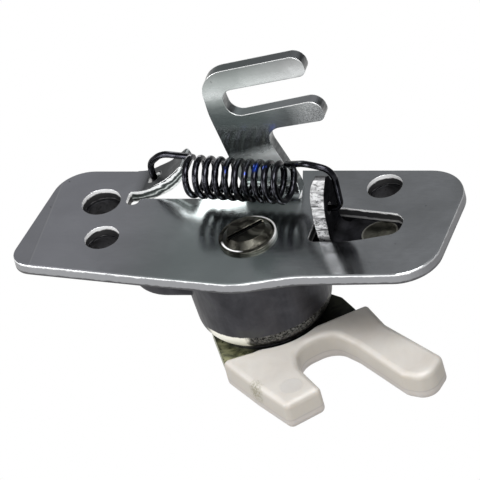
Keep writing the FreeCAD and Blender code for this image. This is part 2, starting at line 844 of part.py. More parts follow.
def make_pawl_slide():
    """Flat slide whose nose locks the disc."""
    body = new_body("pawl_slide")
    sketch = new_sketch(body, "SlideSketch", "XY_Plane", "ear_top_face - sheet_ear - slide_thick")
    sketch_loop(sketch, slide_outline())
    pad(body, sketch, "SlidePad", "slide_thick")
    doc.recompute()
    top = SIZES["ear_top_face"] - SIZES["sheet_ear"]
    rivet_groove(body, "Slide", top - SIZES["slide_thick"], top)
    return body


def make_ear_bracket():
    """Bent ear that stands up through the plate and pulls the slide."""
    body = new_body("ear_bracket")
    bend = new_sketch(body, "EarProfileSketch", "XZ_Plane", "-1 * ear_front")
    sketch_loop(bend, EAR_PROFILE)
    pad(body, bend, "EarUpright", "ear_rear - ear_front", back=True)
    doc.recompute()
    corner = new_sketch(body, "EarBendSketch", "XZ_Plane", "-1 * ear_front")
    centre = Vector(23.93, 2.3, 0)
    slant = math.sqrt(0.5)
    for radius in (2.5, 5.5):
        start = centre + Vector(-radius, 0, 0)
        middle = centre + Vector(-radius * slant, -radius * slant, 0)
        end = centre + Vector(0, -radius, 0)
        corner.addGeometry(Part.Arc(start, middle, end), False)
    corner.addGeometry(Part.LineSegment(centre + Vector(-5.5, 0, 0), centre + Vector(-2.5, 0, 0)), False)
    corner.addGeometry(Part.LineSegment(centre + Vector(0, -2.5, 0), centre + Vector(0, -5.5, 0)), False)
    pad(body, corner, "EarBend", "ear_rear - ear_front", back=True)
    doc.recompute()
    foot = new_sketch(body, "EarFootSketch", "XY_Plane", "ear_top_face - sheet_ear")
    sketch_loop(foot, foot_outline())
    pad(body, foot, "EarFoot", "sheet_ear")
    doc.recompute()
    side = new_sketch(body, "EarSideSketch", "YZ_Plane")
    sketch_loop(side, EAR_SIDE)
    pocket(body, side, "EarSide", "160", middle=True)
    hole = new_sketch(body, "EarHoleSketch", "YZ_Plane", "10")
    add_circle(hole, (EAR_HOLE.y, EAR_HOLE.z), "ear_hole_radius")
    pocket(body, hole, "EarHole", "30", back=True)
    rivet_groove(body, "Ear", SIZES["ear_top_face"] - SIZES["sheet_ear"], SIZES["ear_top_face"])
    return body


def make_ear_rivet():
    """Countersunk rivet through ear and slide."""
    body = new_body("ear_rivet")
    sketch = new_sketch(body, "RivetSketch", "XZ_Plane", "-1 * rivet_along")
    bind(sketch, "AttachmentOffset.Base.x", "rivet_across")
    sketch_loop(sketch, rivet_section(-20.0, SIZES["ear_top_face"]))
    turned(body, sketch, "Rivet")
    return body


def arc_stations(start, middle, end, step_angle):
    """Points along an arc, the first one left out."""
    arc = Part.Arc(start, middle, end)
    first, last = arc.FirstParameter, arc.LastParameter
    count = max(2, int(math.ceil(abs(last - first) / step_angle)))
    return [arc.value(first + (last - first) * k / count) for k in range(1, count + 1)]


def bent_run(start, corners, end, step_angle):
    """Stations of straight runs joined by tangent arcs; each corner is a point and a radius."""
    stations = [start]
    places = [start] + [point for point, radius in corners] + [end]
    for index, (point, radius) in enumerate(corners, start=1):
        begin, middle, finish = corner_arc(places[index - 1], point, places[index + 1], radius)
        stations.append(begin)
        stations += arc_stations(begin, middle, finish, step_angle)
    stations.append(end)
    return stations


def coil(base, axis, side, radius, pitch, turns, steps):
    """Stations of a coil that starts on the given side."""
    across = axis.cross(side)
    stations = []
    for index in range(int(round(turns * steps)) + 1):
        angle = 2.0 * math.pi * index / steps
        spoke = side * math.cos(angle) + across * math.sin(angle)
        stations.append(base + spoke * radius + axis * (pitch * index / steps))
    return stations


def mitre(ring, place, way, normal):
    """Carry a ring of points along one straight piece of wire to its end plane."""
    return [point + way * ((place - point).dot(normal) / way.dot(normal)) for point in ring]


def wire_solid(stations, radius, sides=8):
    """Closed solid of round wire drawn as flat facets along its stations."""
    ways = [(b - a).normalize() for a, b in zip(stations, stations[1:])]
    helper = Vector(0, 0, 1) if abs(ways[0].z) < 0.8 else Vector(1, 0, 0)
    first = ways[0].cross(helper).normalize()
    second = ways[0].cross(first).normalize()
    reach = radius * math.sqrt(2.0 * math.pi / (sides * math.sin(2.0 * math.pi / sides)))
    ring = []
    for k in range(sides):
        angle = 2.0 * math.pi * k / sides
        ring.append(stations[0] + (first * math.cos(angle) + second * math.sin(angle)) * reach)
    rings = [ring]
    for index, way in enumerate(ways):
        onward = ways[index + 1] if index + 1 < len(ways) else way
        ring = mitre(ring, stations[index + 1], way, (way + onward).normalize())
        rings.append(ring)
    faces = [polygon_face(rings[0]), polygon_face(rings[-1])]
    for near, far in zip(rings, rings[1:]):
        for k in range(sides):
            after = (k + 1) % sides
            faces.append(polygon_face([near[k], near[after], far[after], far[k]]))
    shell = Part.makeShell(faces)
    shell.sewShape()
    solid = Part.makeSolid(shell)
    if solid.Volume < 0:
        solid.reverse()
    return solid


def polygon_face(points):
    """Flat face through a closed run of points."""
    return Part.Face(Part.makePolygon(points + [points[0]]))


def place_spring(label, stations, radius):
    """Put the wire into the document as one piece."""
    item = doc.addObject("Part::Feature", label.title().replace("_", ""))
    item.Shape = wire_solid(stations, radius)
    item.Label = label
    item.Placement = FreeCAD.Placement()
    return item


def make_pawl_spring():
    """Extension spring from the tab to the ear, hooked in a hole at both ends."""
    axis = SPRING_RIGHT - SPRING_LEFT
    long = axis.Length
    axis.normalize()
    side = (SPRING_SIDE - axis * axis.dot(SPRING_SIDE)).normalize()
    across = axis.cross(side)
    turns = size("pawl_turns")
    middle = coil(SPRING_LEFT, axis, side, size("pawl_coil"), long / turns, turns, 14)
    left_bends = [
        (middle[0] - across * 2.0, 1.6),
        (Vector(-26.4, 20.2, 13.3), 7.0),
        (Vector(-31.0, 21.6, 9.0), 5.0),
        (Vector(-30.6, 21.7, 2.2), 2.5),
    ]
    right_bends = [
        (middle[-1] + across * 2.0, 1.5),
        (Vector(19.0, 4.2, 23.4), 6.0),
        (Vector(25.6, 4.3, 21.0), 4.0),
        (Vector(25.1, 4.25, 8.9), 2.5),
    ]
    left = bent_run(middle[0], left_bends, Vector(-27.4, 21.9, 0.8), 0.35)
    right = bent_run(middle[-1], right_bends, Vector(17.2, 4.25, 8.9), 0.35)
    stations = list(reversed(left))[:-1] + middle + right[1:]
    return place_spring("pawl_spring", stations, size("pawl_wire"))


def return_legs():
    """Corner of the lower and of the upper leg of the torsion spring, seen from above."""
    side = polar(1.0, RETURN_ANGLE)
    across = polar(1.0, RETURN_ANGLE + 90.0)
    radius = SIZES["return_coil"]
    low = side * radius - across * 4.0
    high = side * (2.0 - radius) - across * 3.0
    return low, high


def make_return_spring():
    """Torsion spring in the cup: one leg in the floor, one in the disc."""
    radius = size("return_coil")
    turns = size("return_turns")
    low, high = -18.0, -8.2
    side = polar(1.0, RETURN_ANGLE)
    middle = coil(Vector(0, 0, low), Vector(0, 0, 1), side, radius, (high - low) / turns, turns, 16)
    low_corner, high_corner = return_legs()
    low_turn = low_corner + Vector(0, 0, low)
    high_turn = high_corner + Vector(0, 0, high)
    low_leg = bent_run(middle[0], [(low_turn, 1.8)], low_turn + Vector(0, 0, -2.9), 0.4)
    high_leg = bent_run(middle[-1], [(high_turn, 1.6)], high_turn + Vector(0, 0, 4.7), 0.4)
    stations = list(reversed(low_leg))[:-1] + middle + high_leg[1:]
    return place_spring("return_spring", stations, size("return_wire"))


def check_all(pieces):
    """Stop when anything failed or a piece is not one sound solid."""
    for item in doc.Objects:
        if "Invalid" in item.State or "Error" in item.State:
            raise RuntimeError("failed: %s %s" % (item.Label, item.State))
    for item in pieces:
        shape = item.Shape
        if shape.isNull() or not shape.isValid():
            raise RuntimeError("bad shape: " + item.Label)
        count = len(shape.Solids)
        box = shape.BoundBox
        print("%-20s solids %d volume %9.1f  x %.2f %.2f y %.2f %.2f z %.2f %.2f" % (
            item.Label, count, shape.Volume, box.XMin, box.XMax, box.YMin, box.YMax,
            box.ZMin, box.ZMax))
        if count != 1:
            raise RuntimeError("not one solid: " + item.Label)


def write_all(pieces):
    """Write every piece to its own file."""
    os.makedirs("parts", exist_ok=True)
    for item in pieces:
        item.Shape.exportStep("parts/%s.step" % item.Label)


def main():
    """Build the lock piece by piece."""
    fill_sheet()
    pieces = [join_plate(make_base_plate(), make_fork()), make_housing()]
    pieces += [make_upper_bush(), make_lower_bush()]
    for name, place in NUT_PLACES.items():
        pieces.append(make_nut(name, place))
    pieces.append(make_claw_shaft())
    pieces.append(make_ring("head_washer", "head_washer_radius", "neck_radius",
                            "head_washer_thick", "plate_thick"))
    pieces.append(make_ratchet_disc())
    pieces.append(make_square_ring("spacer_sleeve", "sleeve_radius",
                                   "disc_top - disc_thick - core_top - claw_washer_thick",
                                   "core_top + claw_washer_thick"))
    pieces.append(make_square_ring("claw_washer", "claw_washer_radius", "claw_washer_thick", "core_top"))
    core = make_claw_core()
    pieces += [core, make_claw_cover(core)]
    pieces.append(make_ring("end_washer", "end_washer_radius", "neck_radius - 1",
                            "end_washer_thick",
                            "core_top - core_thick - end_washer_gap - end_washer_thick"))
    pieces += [make_pawl_slide(), make_ear_bracket(), make_ear_rivet()]
    pieces += [make_pawl_spring(), make_return_spring()]
    doc.recompute()
    check_all(pieces)
    write_all(pieces)


main()
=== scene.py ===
"""Side door lock with a pressed plate, a spring-loaded ear and a rotary claw, dressed for one studio picture."""

import logging
import math
from dataclasses import dataclass, field
from enum import Enum
from typing import Sequence, Union

import bpy
from mathutils import Matrix, Vector


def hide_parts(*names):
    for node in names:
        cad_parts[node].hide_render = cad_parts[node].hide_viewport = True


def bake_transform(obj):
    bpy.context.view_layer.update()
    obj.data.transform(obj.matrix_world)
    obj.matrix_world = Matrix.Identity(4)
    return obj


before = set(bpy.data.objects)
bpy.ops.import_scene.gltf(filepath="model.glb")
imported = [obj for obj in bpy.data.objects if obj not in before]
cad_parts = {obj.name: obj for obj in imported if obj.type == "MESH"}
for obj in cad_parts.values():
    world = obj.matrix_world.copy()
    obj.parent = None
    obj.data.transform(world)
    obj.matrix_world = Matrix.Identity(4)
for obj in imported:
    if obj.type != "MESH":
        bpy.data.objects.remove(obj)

logging.basicConfig(level=logging.INFO, format="%(message)s")
LOG = logging.getLogger("lock")

MM = 0.001
PER_METRE = 1000.0

# Inputs of the Mix node: the share, its two numbers and its two colours.
SHARE, FIRST, SECOND, UNDER, OVER = 0, 2, 3, 6, 7

# What an input of a node takes.
Feed = Union[bpy.types.Node, bpy.types.NodeSocket, float, Sequence[float]]


class Body(Enum):
    """The groups of pieces that move as one."""

    FRAME = "frame"
    CLAW = "claw"
    PAWL = "pawl"


def linear(hex_colour: str) -> tuple[float, float, float, float]:
    """Turn an sRGB hex colour into a linear one.

    Args:
        hex_colour: Six hex digits, with or without a leading hash.

    Returns:
        Red, green, blue and full opacity, linear.
    """
    digits = hex_colour.lstrip("#")
    values = [int(digits[i:i + 2], 16) / 255.0 for i in (0, 2, 4)]
    curve = [v / 12.92 if v <= 0.04045 else ((v + 0.055) / 1.055) ** 2.4 for v in values]
    return curve[0], curve[1], curve[2], 1.0


def put(tree: bpy.types.NodeTree, kind: str, inputs: Sequence[Feed] | dict[int | str, Feed] = (),
        **settings: object) -> bpy.types.Node:
    """Add a shader node with its settings, values and links.

    Args:
        tree: The node tree that gets the node.
        kind: The node's class name without its ShaderNode in front.
        inputs: What the inputs take, in their order, or by name or number. A node given here hands over
            its first output that is in use.
        settings: Plain properties of the node; stops are a colour ramp's places and hex colours.

    Returns:
        The new node.
    """
    node = tree.nodes.new(f"ShaderNode{kind}")
    stops = settings.pop("stops", ())
    for name, value in settings.items():
        setattr(node, name, value)
    for _ in stops[2:]:
        node.color_ramp.elements.new(0.5)
    for element, (place, colour) in zip(node.color_ramp.elements if stops else (), stops):
        element.position = place
        element.color = linear(colour)
    for key, value in inputs.items() if isinstance(inputs, dict) else enumerate(inputs):
        if isinstance(value, bpy.types.Node):
            value = next(output for output in value.outputs if output.enabled)
        if isinstance(value, bpy.types.NodeSocket):
            tree.links.new(value, node.inputs[key])
        else:
            node.inputs[key].default_value = value
    return node


def place_mm(tree: bpy.types.NodeTree, stretch: Sequence[float] = (1.0, 1.0, 1.0),
             turn: Sequence[float] = (0.0, 0.0, 0.0)) -> bpy.types.Node:
    """Give the place on the object in millimetres.

    Args:
        tree: The node tree.
        stretch: Factor along each axis, to draw a pattern out.
        turn: Rotation of the pattern in degrees.

    Returns:
        The node whose output is the place.
    """
    coords = put(tree, "TexCoord")
    scale = tuple(PER_METRE * factor for factor in stretch)
    angles = tuple(math.radians(angle) for angle in turn)
    return put(tree, "Mapping", {"Vector": coords.outputs["Object"], "Scale": scale, "Rotation": angles})


def bumps(tree: bpy.types.NodeTree, layers: Sequence[tuple[Feed, float, float]],
          round_mm: float = 0.0) -> bpy.types.Node:
    """Stack height patterns into one normal.

    Args:
        tree: The node tree.
        layers: Height, depth in millimetres and strength of each pattern.
        round_mm: Radius by which sharp edges catch the light as if rounded.

    Returns:
        The node whose output is the normal.
    """
    normal = None
    if round_mm > 0.0:
        normal = put(tree, "Bevel", {"Radius": round_mm * MM}, samples=6)
    for height, depth, strength in layers:
        inputs = {"Height": height, "Distance": depth * MM, "Strength": strength}
        if normal is not None:
            inputs["Normal"] = normal
        normal = put(tree, "Bump", inputs)
    return normal


def overlap(tree: bpy.types.NodeTree, *zones: Feed) -> bpy.types.Node:
    """Find where all zones hold at once.

    Args:
        tree: The node tree.
        zones: Shares from 0 to 1.

    Returns:
        The node whose output is their product.
    """
    shared, *others = zones
    for zone in others:
        shared = put(tree, "Math", [shared, zone], operation="MULTIPLY")
    return shared


def waver(tree: bpy.types.NodeTree, value: Feed, pattern: Feed, amount: float,
          middle: float = 0.0) -> bpy.types.Node:
    """Let a value waver with a pattern, so that what is drawn by it gets a ragged border.

    Args:
        tree: The node tree.
        value: The value, such as a place in millimetres.
        pattern: The pattern from 0 to 1.
        amount: How far the whole pattern moves the value.
        middle: Level of the pattern that leaves the value as it is.

    Returns:
        The node whose output is the moved value.
    """
    swing = put(tree, "Math", [pattern, middle], operation="SUBTRACT")
    swing = put(tree, "Math", [swing, amount], operation="MULTIPLY")
    return put(tree, "Math", [value, swing], operation="ADD")


def new_material(name: str) -> tuple[bpy.types.Material, bpy.types.NodeTree]:
    """Start an empty material.

    Args:
        name: Name of the real material and how it was worked.

    Returns:
        The material and its cleared node tree.
    """
    material = bpy.data.materials.new(name)
    material.use_nodes = True
    tree = material.node_tree
    tree.nodes.clear()
    return material, tree


def close_material(tree: bpy.types.NodeTree, inputs: dict[str, Feed]) -> None:
    """Add the surface shader and the output.

    Args:
        tree: The node tree.
        inputs: What the surface shader's inputs take.
    """
    put(tree, "OutputMaterial", {"Surface": put(tree, "BsdfPrincipled", inputs)})


def upright_share(tree: bpy.types.NodeTree) -> bpy.types.Node:
    """Tell walls from flats: 1 where the surface stands upright, 0 where it lies flat.

    Args:
        tree: The node tree.

    Returns:
        The node whose output is that share.
    """
    face = put(tree, "NewGeometry").outputs["True Normal"]
    lift = put(tree, "SeparateXYZ", [face]).outputs["Z"]
    return put(tree, "MapRange", [put(tree, "Math", [lift], operation="ABSOLUTE"), 0.75, 0.45])


@dataclass(frozen=True)
class ZincSheet:
    """Zinc plated, rolled steel sheet: soft clouds, fine grain, specks, and painted light and shade on its cut
    edges, holes, tab, fork and left end.
    """

    # To the eye: a cool grey sheen that mirrors softly, with painted white highlight lines along the edges the
    # press sheared.
    # Rolling grain is about 0.05 mm wide in the real sheet and drawn at 0.6 mm, so that it shows.
    # The plating's crystals are finer still and drawn at 0.4 mm. Clouds of the plating are about 18 mm.
    name: str = "zinc plated steel sheet, pressed"
    dark: str = "#a9abac"
    light: str = "#c3c5c7"
    grain: str = "#7a7c7c"
    # Painted light on the flat: a paler left end and a bluish reflection in the middle.
    left_sheen: str = "#d0cfd6"
    bluish_reflection: str = "#a6b5b1"
    speck: str = "#2c2c2c"
    sheared: str = "#8d8e91"
    # Painted light on the cut edges: shade at their foot, a highlight line along their top, and shade where they
    # face right.
    rim_foot_shade: str = "#4a4a4c"
    rim_highlight: str = "#f2f3f4"
    rim_right_shade: str = "#66666a"
    # Painted light in the holes and slot: a light line at the foot of the walls, shade below and a white
    # highlight at the top. The white is also a painted highlight on rounded edges and a painted reflection under
    # the tab.
    wall_foot: str = "#8a8a8a"
    shade: str = "#2e2e2f"
    white: str = "#ffffff"
    # Painted shade on the raised tab's top and on the fork's upper prong.
    tab_top_shade: str = "#3f4041"
    fork_top_shade: str = "#5f6364"
    # Painted reflection: white bands on the fork's front.
    film: str = "#eef1f1"
    cut_dark: str = "#3c3c3e"
    cut_light: str = "#77787a"
    # A painted highlight along the crease near the left end; the margin beyond the crease is darker.
    crease: str = "#f4f4f4"
    margin: str = "#7d7a76"
    # Painted highlights and reflections across the tab's sheared edge, from its lower rim to its upper one.
    edge_glints: Sequence[tuple[float, str]] = (
        (0.0, "#e8ecea"), (0.12, "#1c1d1d"), (0.30, "#4e5654"), (0.38, "#d8dddb"), (0.46, "#5a625f"),
        (0.58, "#232525"), (0.70, "#59605e"), (0.76, "#f4f5f5"), (0.96, "#f4f5f5"), (1.0, "#3a3b3c"))
    # How white the painted reflection on the fork's front is, from the fork's foot to its upper prong.
    reflection_bands: Sequence[tuple[float, str]] = (
        (0.0, "#d0d0d0"), (0.06, "#909090"), (0.12, "#303030"), (0.40, "#181818"), (0.56, "#242424"),
        (0.64, "#585858"), (0.71, "#b4b4b4"), (0.80, "#787878"), (0.92, "#242424"), (1.0, "#181818"))
    rough_low: float = 0.13
    rough_high: float = 0.22
    rough_sheared: float = 0.42
    metal_sheared: float = 0.35
    sheet_mm: float = 3.0
    holes_x_mm: Sequence[float] = (-54.5, 49.0)
    holes_y_mm: Sequence[float] = (-8.5, 25.2)
    holes_fade_mm: float = 0.5
    tab_mm: Sequence[float] = (-36.6, -18.5, 14.0)
    tab_left_mm: float = -36.4
    tab_curl: float = 0.0335
    tab_thick_mm: float = 3.2
    slot_slope: float = 0.28
    reflection_mm: Sequence[float] = (13.3, 45.3)
    fork_foot_mm: Sequence[float] = (5.0, 6.0)
    crease_mm: float = -55.3
    blue_centre_mm: float = -8.0
    round_mm: float = 0.35
    # How wide a zone's borders fade or waver.
    tab_fade_mm: Sequence[float] = (0.3, 0.5, 0.1)
    tab_ragged_mm: float = 1.5
    reflection_ragged_mm: float = 5.0
    edge_ragged_mm: float = 1.1
    # Where a shade or mark begins and where it is full.
    left_sheen_mm: Sequence[float] = (-15.0, -50.0)
    bluish_reflection_mm: Sequence[float] = (24.0, 8.0)
    slot_x_mm: Sequence[float] = (10.0, 11.0)
    slot_y_mm: Sequence[float] = (14.0, 13.5)
    raised_mm: Sequence[float] = (3.05, 3.6)
    fork_top_mm: Sequence[float] = (38.0, 42.0)
    reflection_rise_mm: Sequence[float] = (6.0, 8.0)
    reflection_rear_mm: Sequence[float] = (-16.0, -14.5)
    tip_x_mm: Sequence[float] = (10.5, 16.0)
    tip_z_mm: Sequence[float] = (34.0, 31.0)
    crease_top_mm: Sequence[float] = (2.8, 2.98)
    crease_half_mm: Sequence[float] = (0.3, 0.1)

    def inside(self, tree: bpy.types.NodeTree, parts: bpy.types.Node) -> bpy.types.Node:
        """Tell the walls of holes and slot from the outer edge by their place on the plate.

        Args:
            tree: The node tree.
            parts: The place on the object in millimetres, split by axis.

        Returns:
            The node whose output is 1 on the walls of holes and slot.
        """
        sides = []
        for axis, (low, high) in (("X", self.holes_x_mm), ("Y", self.holes_y_mm)):
            after = put(tree, "MapRange", [parts.outputs[axis], low, low + self.holes_fade_mm])
            before = put(tree, "MapRange", [parts.outputs[axis], high, high - self.holes_fade_mm])
            sides.append(overlap(tree, after, before))
        return overlap(tree, sides[0], sides[1])

    def tab_zone(self, tree: bpy.types.NodeTree, parts: bpy.types.Node) -> bpy.types.Node:
        """Find the raised spring tab by its place on the sheet.

        Args:
            tree: The node tree.
            parts: The place on the object in millimetres, split by axis.

        Returns:
            The node whose output is 1 on the tab.
        """
        low, high, front = self.tab_mm
        fade_low, fade_high, fade_front = self.tab_fade_mm
        left = put(tree, "MapRange", [parts.outputs["X"], low - fade_low, low])
        right = put(tree, "MapRange", [parts.outputs["X"], high + fade_high, high])
        deep = put(tree, "MapRange", [parts.outputs["Y"], front - fade_front, front + fade_front])
        return overlap(tree, deep, left, right)

    def tab_edge_glints(self, tree: bpy.types.NodeTree, parts: bpy.types.Node) -> bpy.types.Node:
        """Colour the tab's sheared edge with painted highlight lines along both rims and painted reflection
        streaks between.

        Args:
            tree: The node tree.
            parts: The place on the object in millimetres, split by axis.

        Returns:
            The node whose output is the edge's colour.
        """
        along = put(tree, "Math", [parts.outputs["X"], self.tab_left_mm], operation="SUBTRACT")
        squared = put(tree, "Math", [along, along], operation="MULTIPLY")
        curl = put(tree, "Math", [squared, self.tab_curl], operation="MULTIPLY")
        across = put(tree, "Math", [parts.outputs["Z"], curl], operation="SUBTRACT")
        ragged = put(tree, "TexNoise", {"Vector": place_mm(tree, (0.35, 1.0, 1.0), (0, 32, 0)), "Scale": 0.9,
                                        "Detail": 3.0, "Roughness": 0.6})
        across = waver(tree, across, ragged, self.tab_ragged_mm, middle=0.5)
        return put(tree, "ValToRGB", [put(tree, "MapRange", [across, 0.0, self.tab_thick_mm])],
                   stops=self.edge_glints)

    def reflection_share(self, tree: bpy.types.NodeTree, parts: bpy.types.Node) -> bpy.types.Node:
        """Tell how much painted white reflection lies on the fork, in bands that follow its slot.

        Args:
            tree: The node tree.
            parts: The place on the object in millimetres, split by axis.

        Returns:
            The node whose output is the film's share.
        """
        slope = put(tree, "Math", [parts.outputs["X"], self.slot_slope], operation="MULTIPLY")
        band = put(tree, "Math", [parts.outputs["Z"], slope], operation="SUBTRACT")
        clouds = put(tree, "TexNoise", {"Vector": place_mm(tree), "Scale": 0.16, "Detail": 4.0,
                                        "Roughness": 0.6, "Distortion": 0.6})
        band = waver(tree, band, clouds, self.reflection_ragged_mm, middle=0.5)
        share = put(tree, "ValToRGB", [put(tree, "MapRange", [band, *self.reflection_mm])], stops=self.reflection_bands)
        share = put(tree, "SeparateColor", [share])
        tip = put(tree, "MapRange", [parts.outputs["X"], *self.tip_x_mm, 0.0, 0.35])
        low = put(tree, "MapRange", [parts.outputs["Z"], *self.tip_z_mm])
        flecks = put(tree, "TexNoise", {"Vector": place_mm(tree), "Scale": 1.9, "Detail": 4.0,
                                        "Roughness": 0.7})
        tip = overlap(tree, tip, low, put(tree, "MapRange", [flecks, 0.40, 0.66, 0.35, 1.0]))
        share = put(tree, "Math", [share, tip], operation="MAXIMUM")
        rise = put(tree, "MapRange", [parts.outputs["Z"], *self.reflection_rise_mm])
        rear = put(tree, "MapRange", [parts.outputs["X"], *self.reflection_rear_mm])
        return overlap(tree, share, rise, rear)

    def build(self) -> bpy.types.Material:
        """Return the finished material.

        Returns:
            The material.
        """
        material, tree = new_material(self.name)
        vector = place_mm(tree)
        parts = put(tree, "SeparateXYZ", [vector])
        clouds = put(tree, "TexNoise", {"Vector": vector, "Scale": 0.055, "Detail": 4.0, "Roughness": 0.55,
                                        "Distortion": 0.6})
        grain = put(tree, "TexNoise", {"Vector": place_mm(tree, (0.25, 1.0, 1.0)), "Scale": 1.6, "Detail": 3.0,
                                       "Roughness": 0.6})
        tone = put(tree, "ValToRGB", [clouds], stops=[(0.32, self.dark), (0.68, self.light)])
        tone = put(tree, "Mix", {SHARE: put(tree, "MapRange", [grain, 0.3, 0.7, 0.0, 0.12]), UNDER: tone,
                                 OVER: linear(self.grain)}, data_type="RGBA")
        # Painted light: the left end of the plate paler.
        left = put(tree, "MapRange", [parts.outputs["X"], *self.left_sheen_mm, 0.0, 0.6])
        tone = put(tree, "Mix", {SHARE: left, UNDER: tone, OVER: linear(self.left_sheen)}, data_type="RGBA")
        # Painted reflection: a bluish tint in the middle of the plate.
        centre = put(tree, "Math", [parts.outputs["X"], self.blue_centre_mm], operation="SUBTRACT")
        centre = put(tree, "Math", [centre], operation="ABSOLUTE")
        tone = put(tree, "Mix", {SHARE: put(tree, "MapRange", [centre, *self.bluish_reflection_mm, 0.0, 0.5]),
                                 UNDER: tone, OVER: linear(self.bluish_reflection)}, data_type="RGBA")
        dots = put(tree, "TexNoise", {"Vector": vector, "Scale": 0.62, "Roughness": 0.6})
        tone = put(tree, "Mix", {SHARE: put(tree, "MapRange", [dots, 0.74, 0.77, 0.0, 0.85]), UNDER: tone,
                                 OVER: linear(self.speck)}, data_type="RGBA")
        below = put(tree, "MapRange", [parts.outputs["Z"], self.sheet_mm + 0.05, self.sheet_mm - 0.05])
        edge = overlap(tree, upright_share(tree), below)
        chips = put(tree, "TexNoise", {"Vector": place_mm(tree, (0.5, 0.5, 1.3)), "Scale": 0.9, "Detail": 4.0,
                                       "Roughness": 0.65})
        level = waver(tree, parts.outputs["Z"], chips, self.edge_ragged_mm, middle=0.5)
        # Painted light on the walls of holes and slot: a light line at the foot, shade below and a white
        # highlight at the top, thinner in the slot.
        slot = overlap(tree, put(tree, "MapRange", [parts.outputs["Y"], *self.slot_y_mm, 0.0, 0.62]),
                       put(tree, "MapRange", [parts.outputs["X"], *self.slot_x_mm]))
        lowered = put(tree, "Math", [level, slot], operation="SUBTRACT")
        hole = put(tree, "ValToRGB", [put(tree, "MapRange", [lowered, 0.0, self.sheet_mm])],
                   stops=[(0.0, self.wall_foot), (0.06, self.shade), (0.58, self.shade), (0.68, self.white),
                          (1.0, self.white)])
        # Painted light on the outer cut edge: shade at its foot, a white highlight line at its top, and shade on
        # the faces that face right.
        rim = put(tree, "ValToRGB", [put(tree, "MapRange", [level, 0.0, self.sheet_mm])],
                  stops=[(0.0, self.rim_foot_shade), (0.14, self.rim_foot_shade), (0.22, self.sheared), (0.80, self.sheared),
                         (0.89, self.rim_highlight), (1.0, self.rim_highlight)])
        flat_normal = put(tree, "NewGeometry").outputs["True Normal"]
        normal_parts = put(tree, "SeparateXYZ", [flat_normal])
        right = put(tree, "MapRange", [normal_parts.outputs["X"], 0.35, 0.85, 0.0, 0.6])
        rim = put(tree, "Mix", {SHARE: right, UNDER: rim, OVER: linear(self.rim_right_shade)}, data_type="RGBA")
        wall = put(tree, "Mix", {SHARE: self.inside(tree, parts), UNDER: rim, OVER: hole}, data_type="RGBA")
        tone = put(tree, "Mix", {SHARE: edge, UNDER: tone, OVER: wall}, data_type="RGBA")
        # Painted shade: the raised tab's top darker.
        raised = overlap(tree, self.tab_zone(tree, parts),
                         put(tree, "MapRange", [parts.outputs["Z"], *self.raised_mm]))
        tone = put(tree, "Mix", {SHARE: put(tree, "Math", [raised, 0.8], operation="MULTIPLY"), UNDER: tone,
                                 OVER: linear(self.tab_top_shade)}, data_type="RGBA")
        # Painted light on the tab: highlight and reflection streaks on its sheared edge, and a white painted
        # reflection under it.
        tab = overlap(tree, put(tree, "MapRange", [normal_parts.outputs["Y"], -0.7, -0.9]),
                      self.tab_zone(tree, parts))
        beneath = overlap(tree, put(tree, "MapRange", [normal_parts.outputs["Z"], -0.1, -0.3]),
                          self.tab_zone(tree, parts))
        tone = put(tree, "Mix", {SHARE: beneath, UNDER: tone, OVER: linear(self.white)}, data_type="RGBA")
        tone = put(tree, "Mix", {SHARE: tab, UNDER: tone, OVER: self.tab_edge_glints(tree, parts)},
                   data_type="RGBA")
        edge = put(tree, "Math", [edge, put(tree, "Math", [tab, beneath], operation="MAXIMUM")],
                   operation="MAXIMUM")
        # Painted shade: the fork's upper prong darker.
        slope = put(tree, "Math", [parts.outputs["X"], self.slot_slope], operation="MULTIPLY")
        top = put(tree, "Math", [parts.outputs["Z"], slope], operation="SUBTRACT")
        tone = put(tree, "Mix", {SHARE: put(tree, "MapRange", [top, *self.fork_top_mm, 0.0, 0.5]),
                                 UNDER: tone, OVER: linear(self.fork_top_shade)}, data_type="RGBA")
        # Painted reflection: white bands on the fork's front that follow its slot.
        film = overlap(tree, self.reflection_share(tree, parts),
                       put(tree, "MapRange", [normal_parts.outputs["Y"], -0.3, -0.6]))
        tone = put(tree, "Mix", {SHARE: film, UNDER: tone, OVER: linear(self.film)}, data_type="RGBA")
        standing = put(tree, "MapRange", [parts.outputs["Z"], *self.fork_foot_mm])
        sideways = put(tree, "Math", [normal_parts.outputs["X"]], operation="ABSOLUTE")
        cut = overlap(tree, standing, put(tree, "MapRange", [sideways, 0.45, 0.7]))
        sides = put(tree, "ValToRGB", [chips], stops=[(0.40, self.cut_dark), (0.60, self.cut_light)])
        tone = put(tree, "Mix", {SHARE: put(tree, "Math", [cut, 0.8], operation="MULTIPLY"), UNDER: tone,
                                 OVER: sides}, data_type="RGBA")
        # Painted highlight: white on the upward rounded edges of the parts that stand above the sheet.
        rounded = put(tree, "Bevel", {"Radius": self.round_mm * MM}, samples=8)
        near = put(tree, "VectorMath", [rounded, flat_normal], operation="DOT_PRODUCT")
        lift = put(tree, "SeparateXYZ", [rounded]).outputs["Z"]
        corner = overlap(tree, put(tree, "MapRange", [near, 0.99, 0.93, 0.0, 0.95]),
                         put(tree, "MapRange", [lift, 0.15, 0.4]))
        corner = overlap(tree, corner, standing)
        tone = put(tree, "Mix", {SHARE: corner, UNDER: tone, OVER: linear(self.white)}, data_type="RGBA")
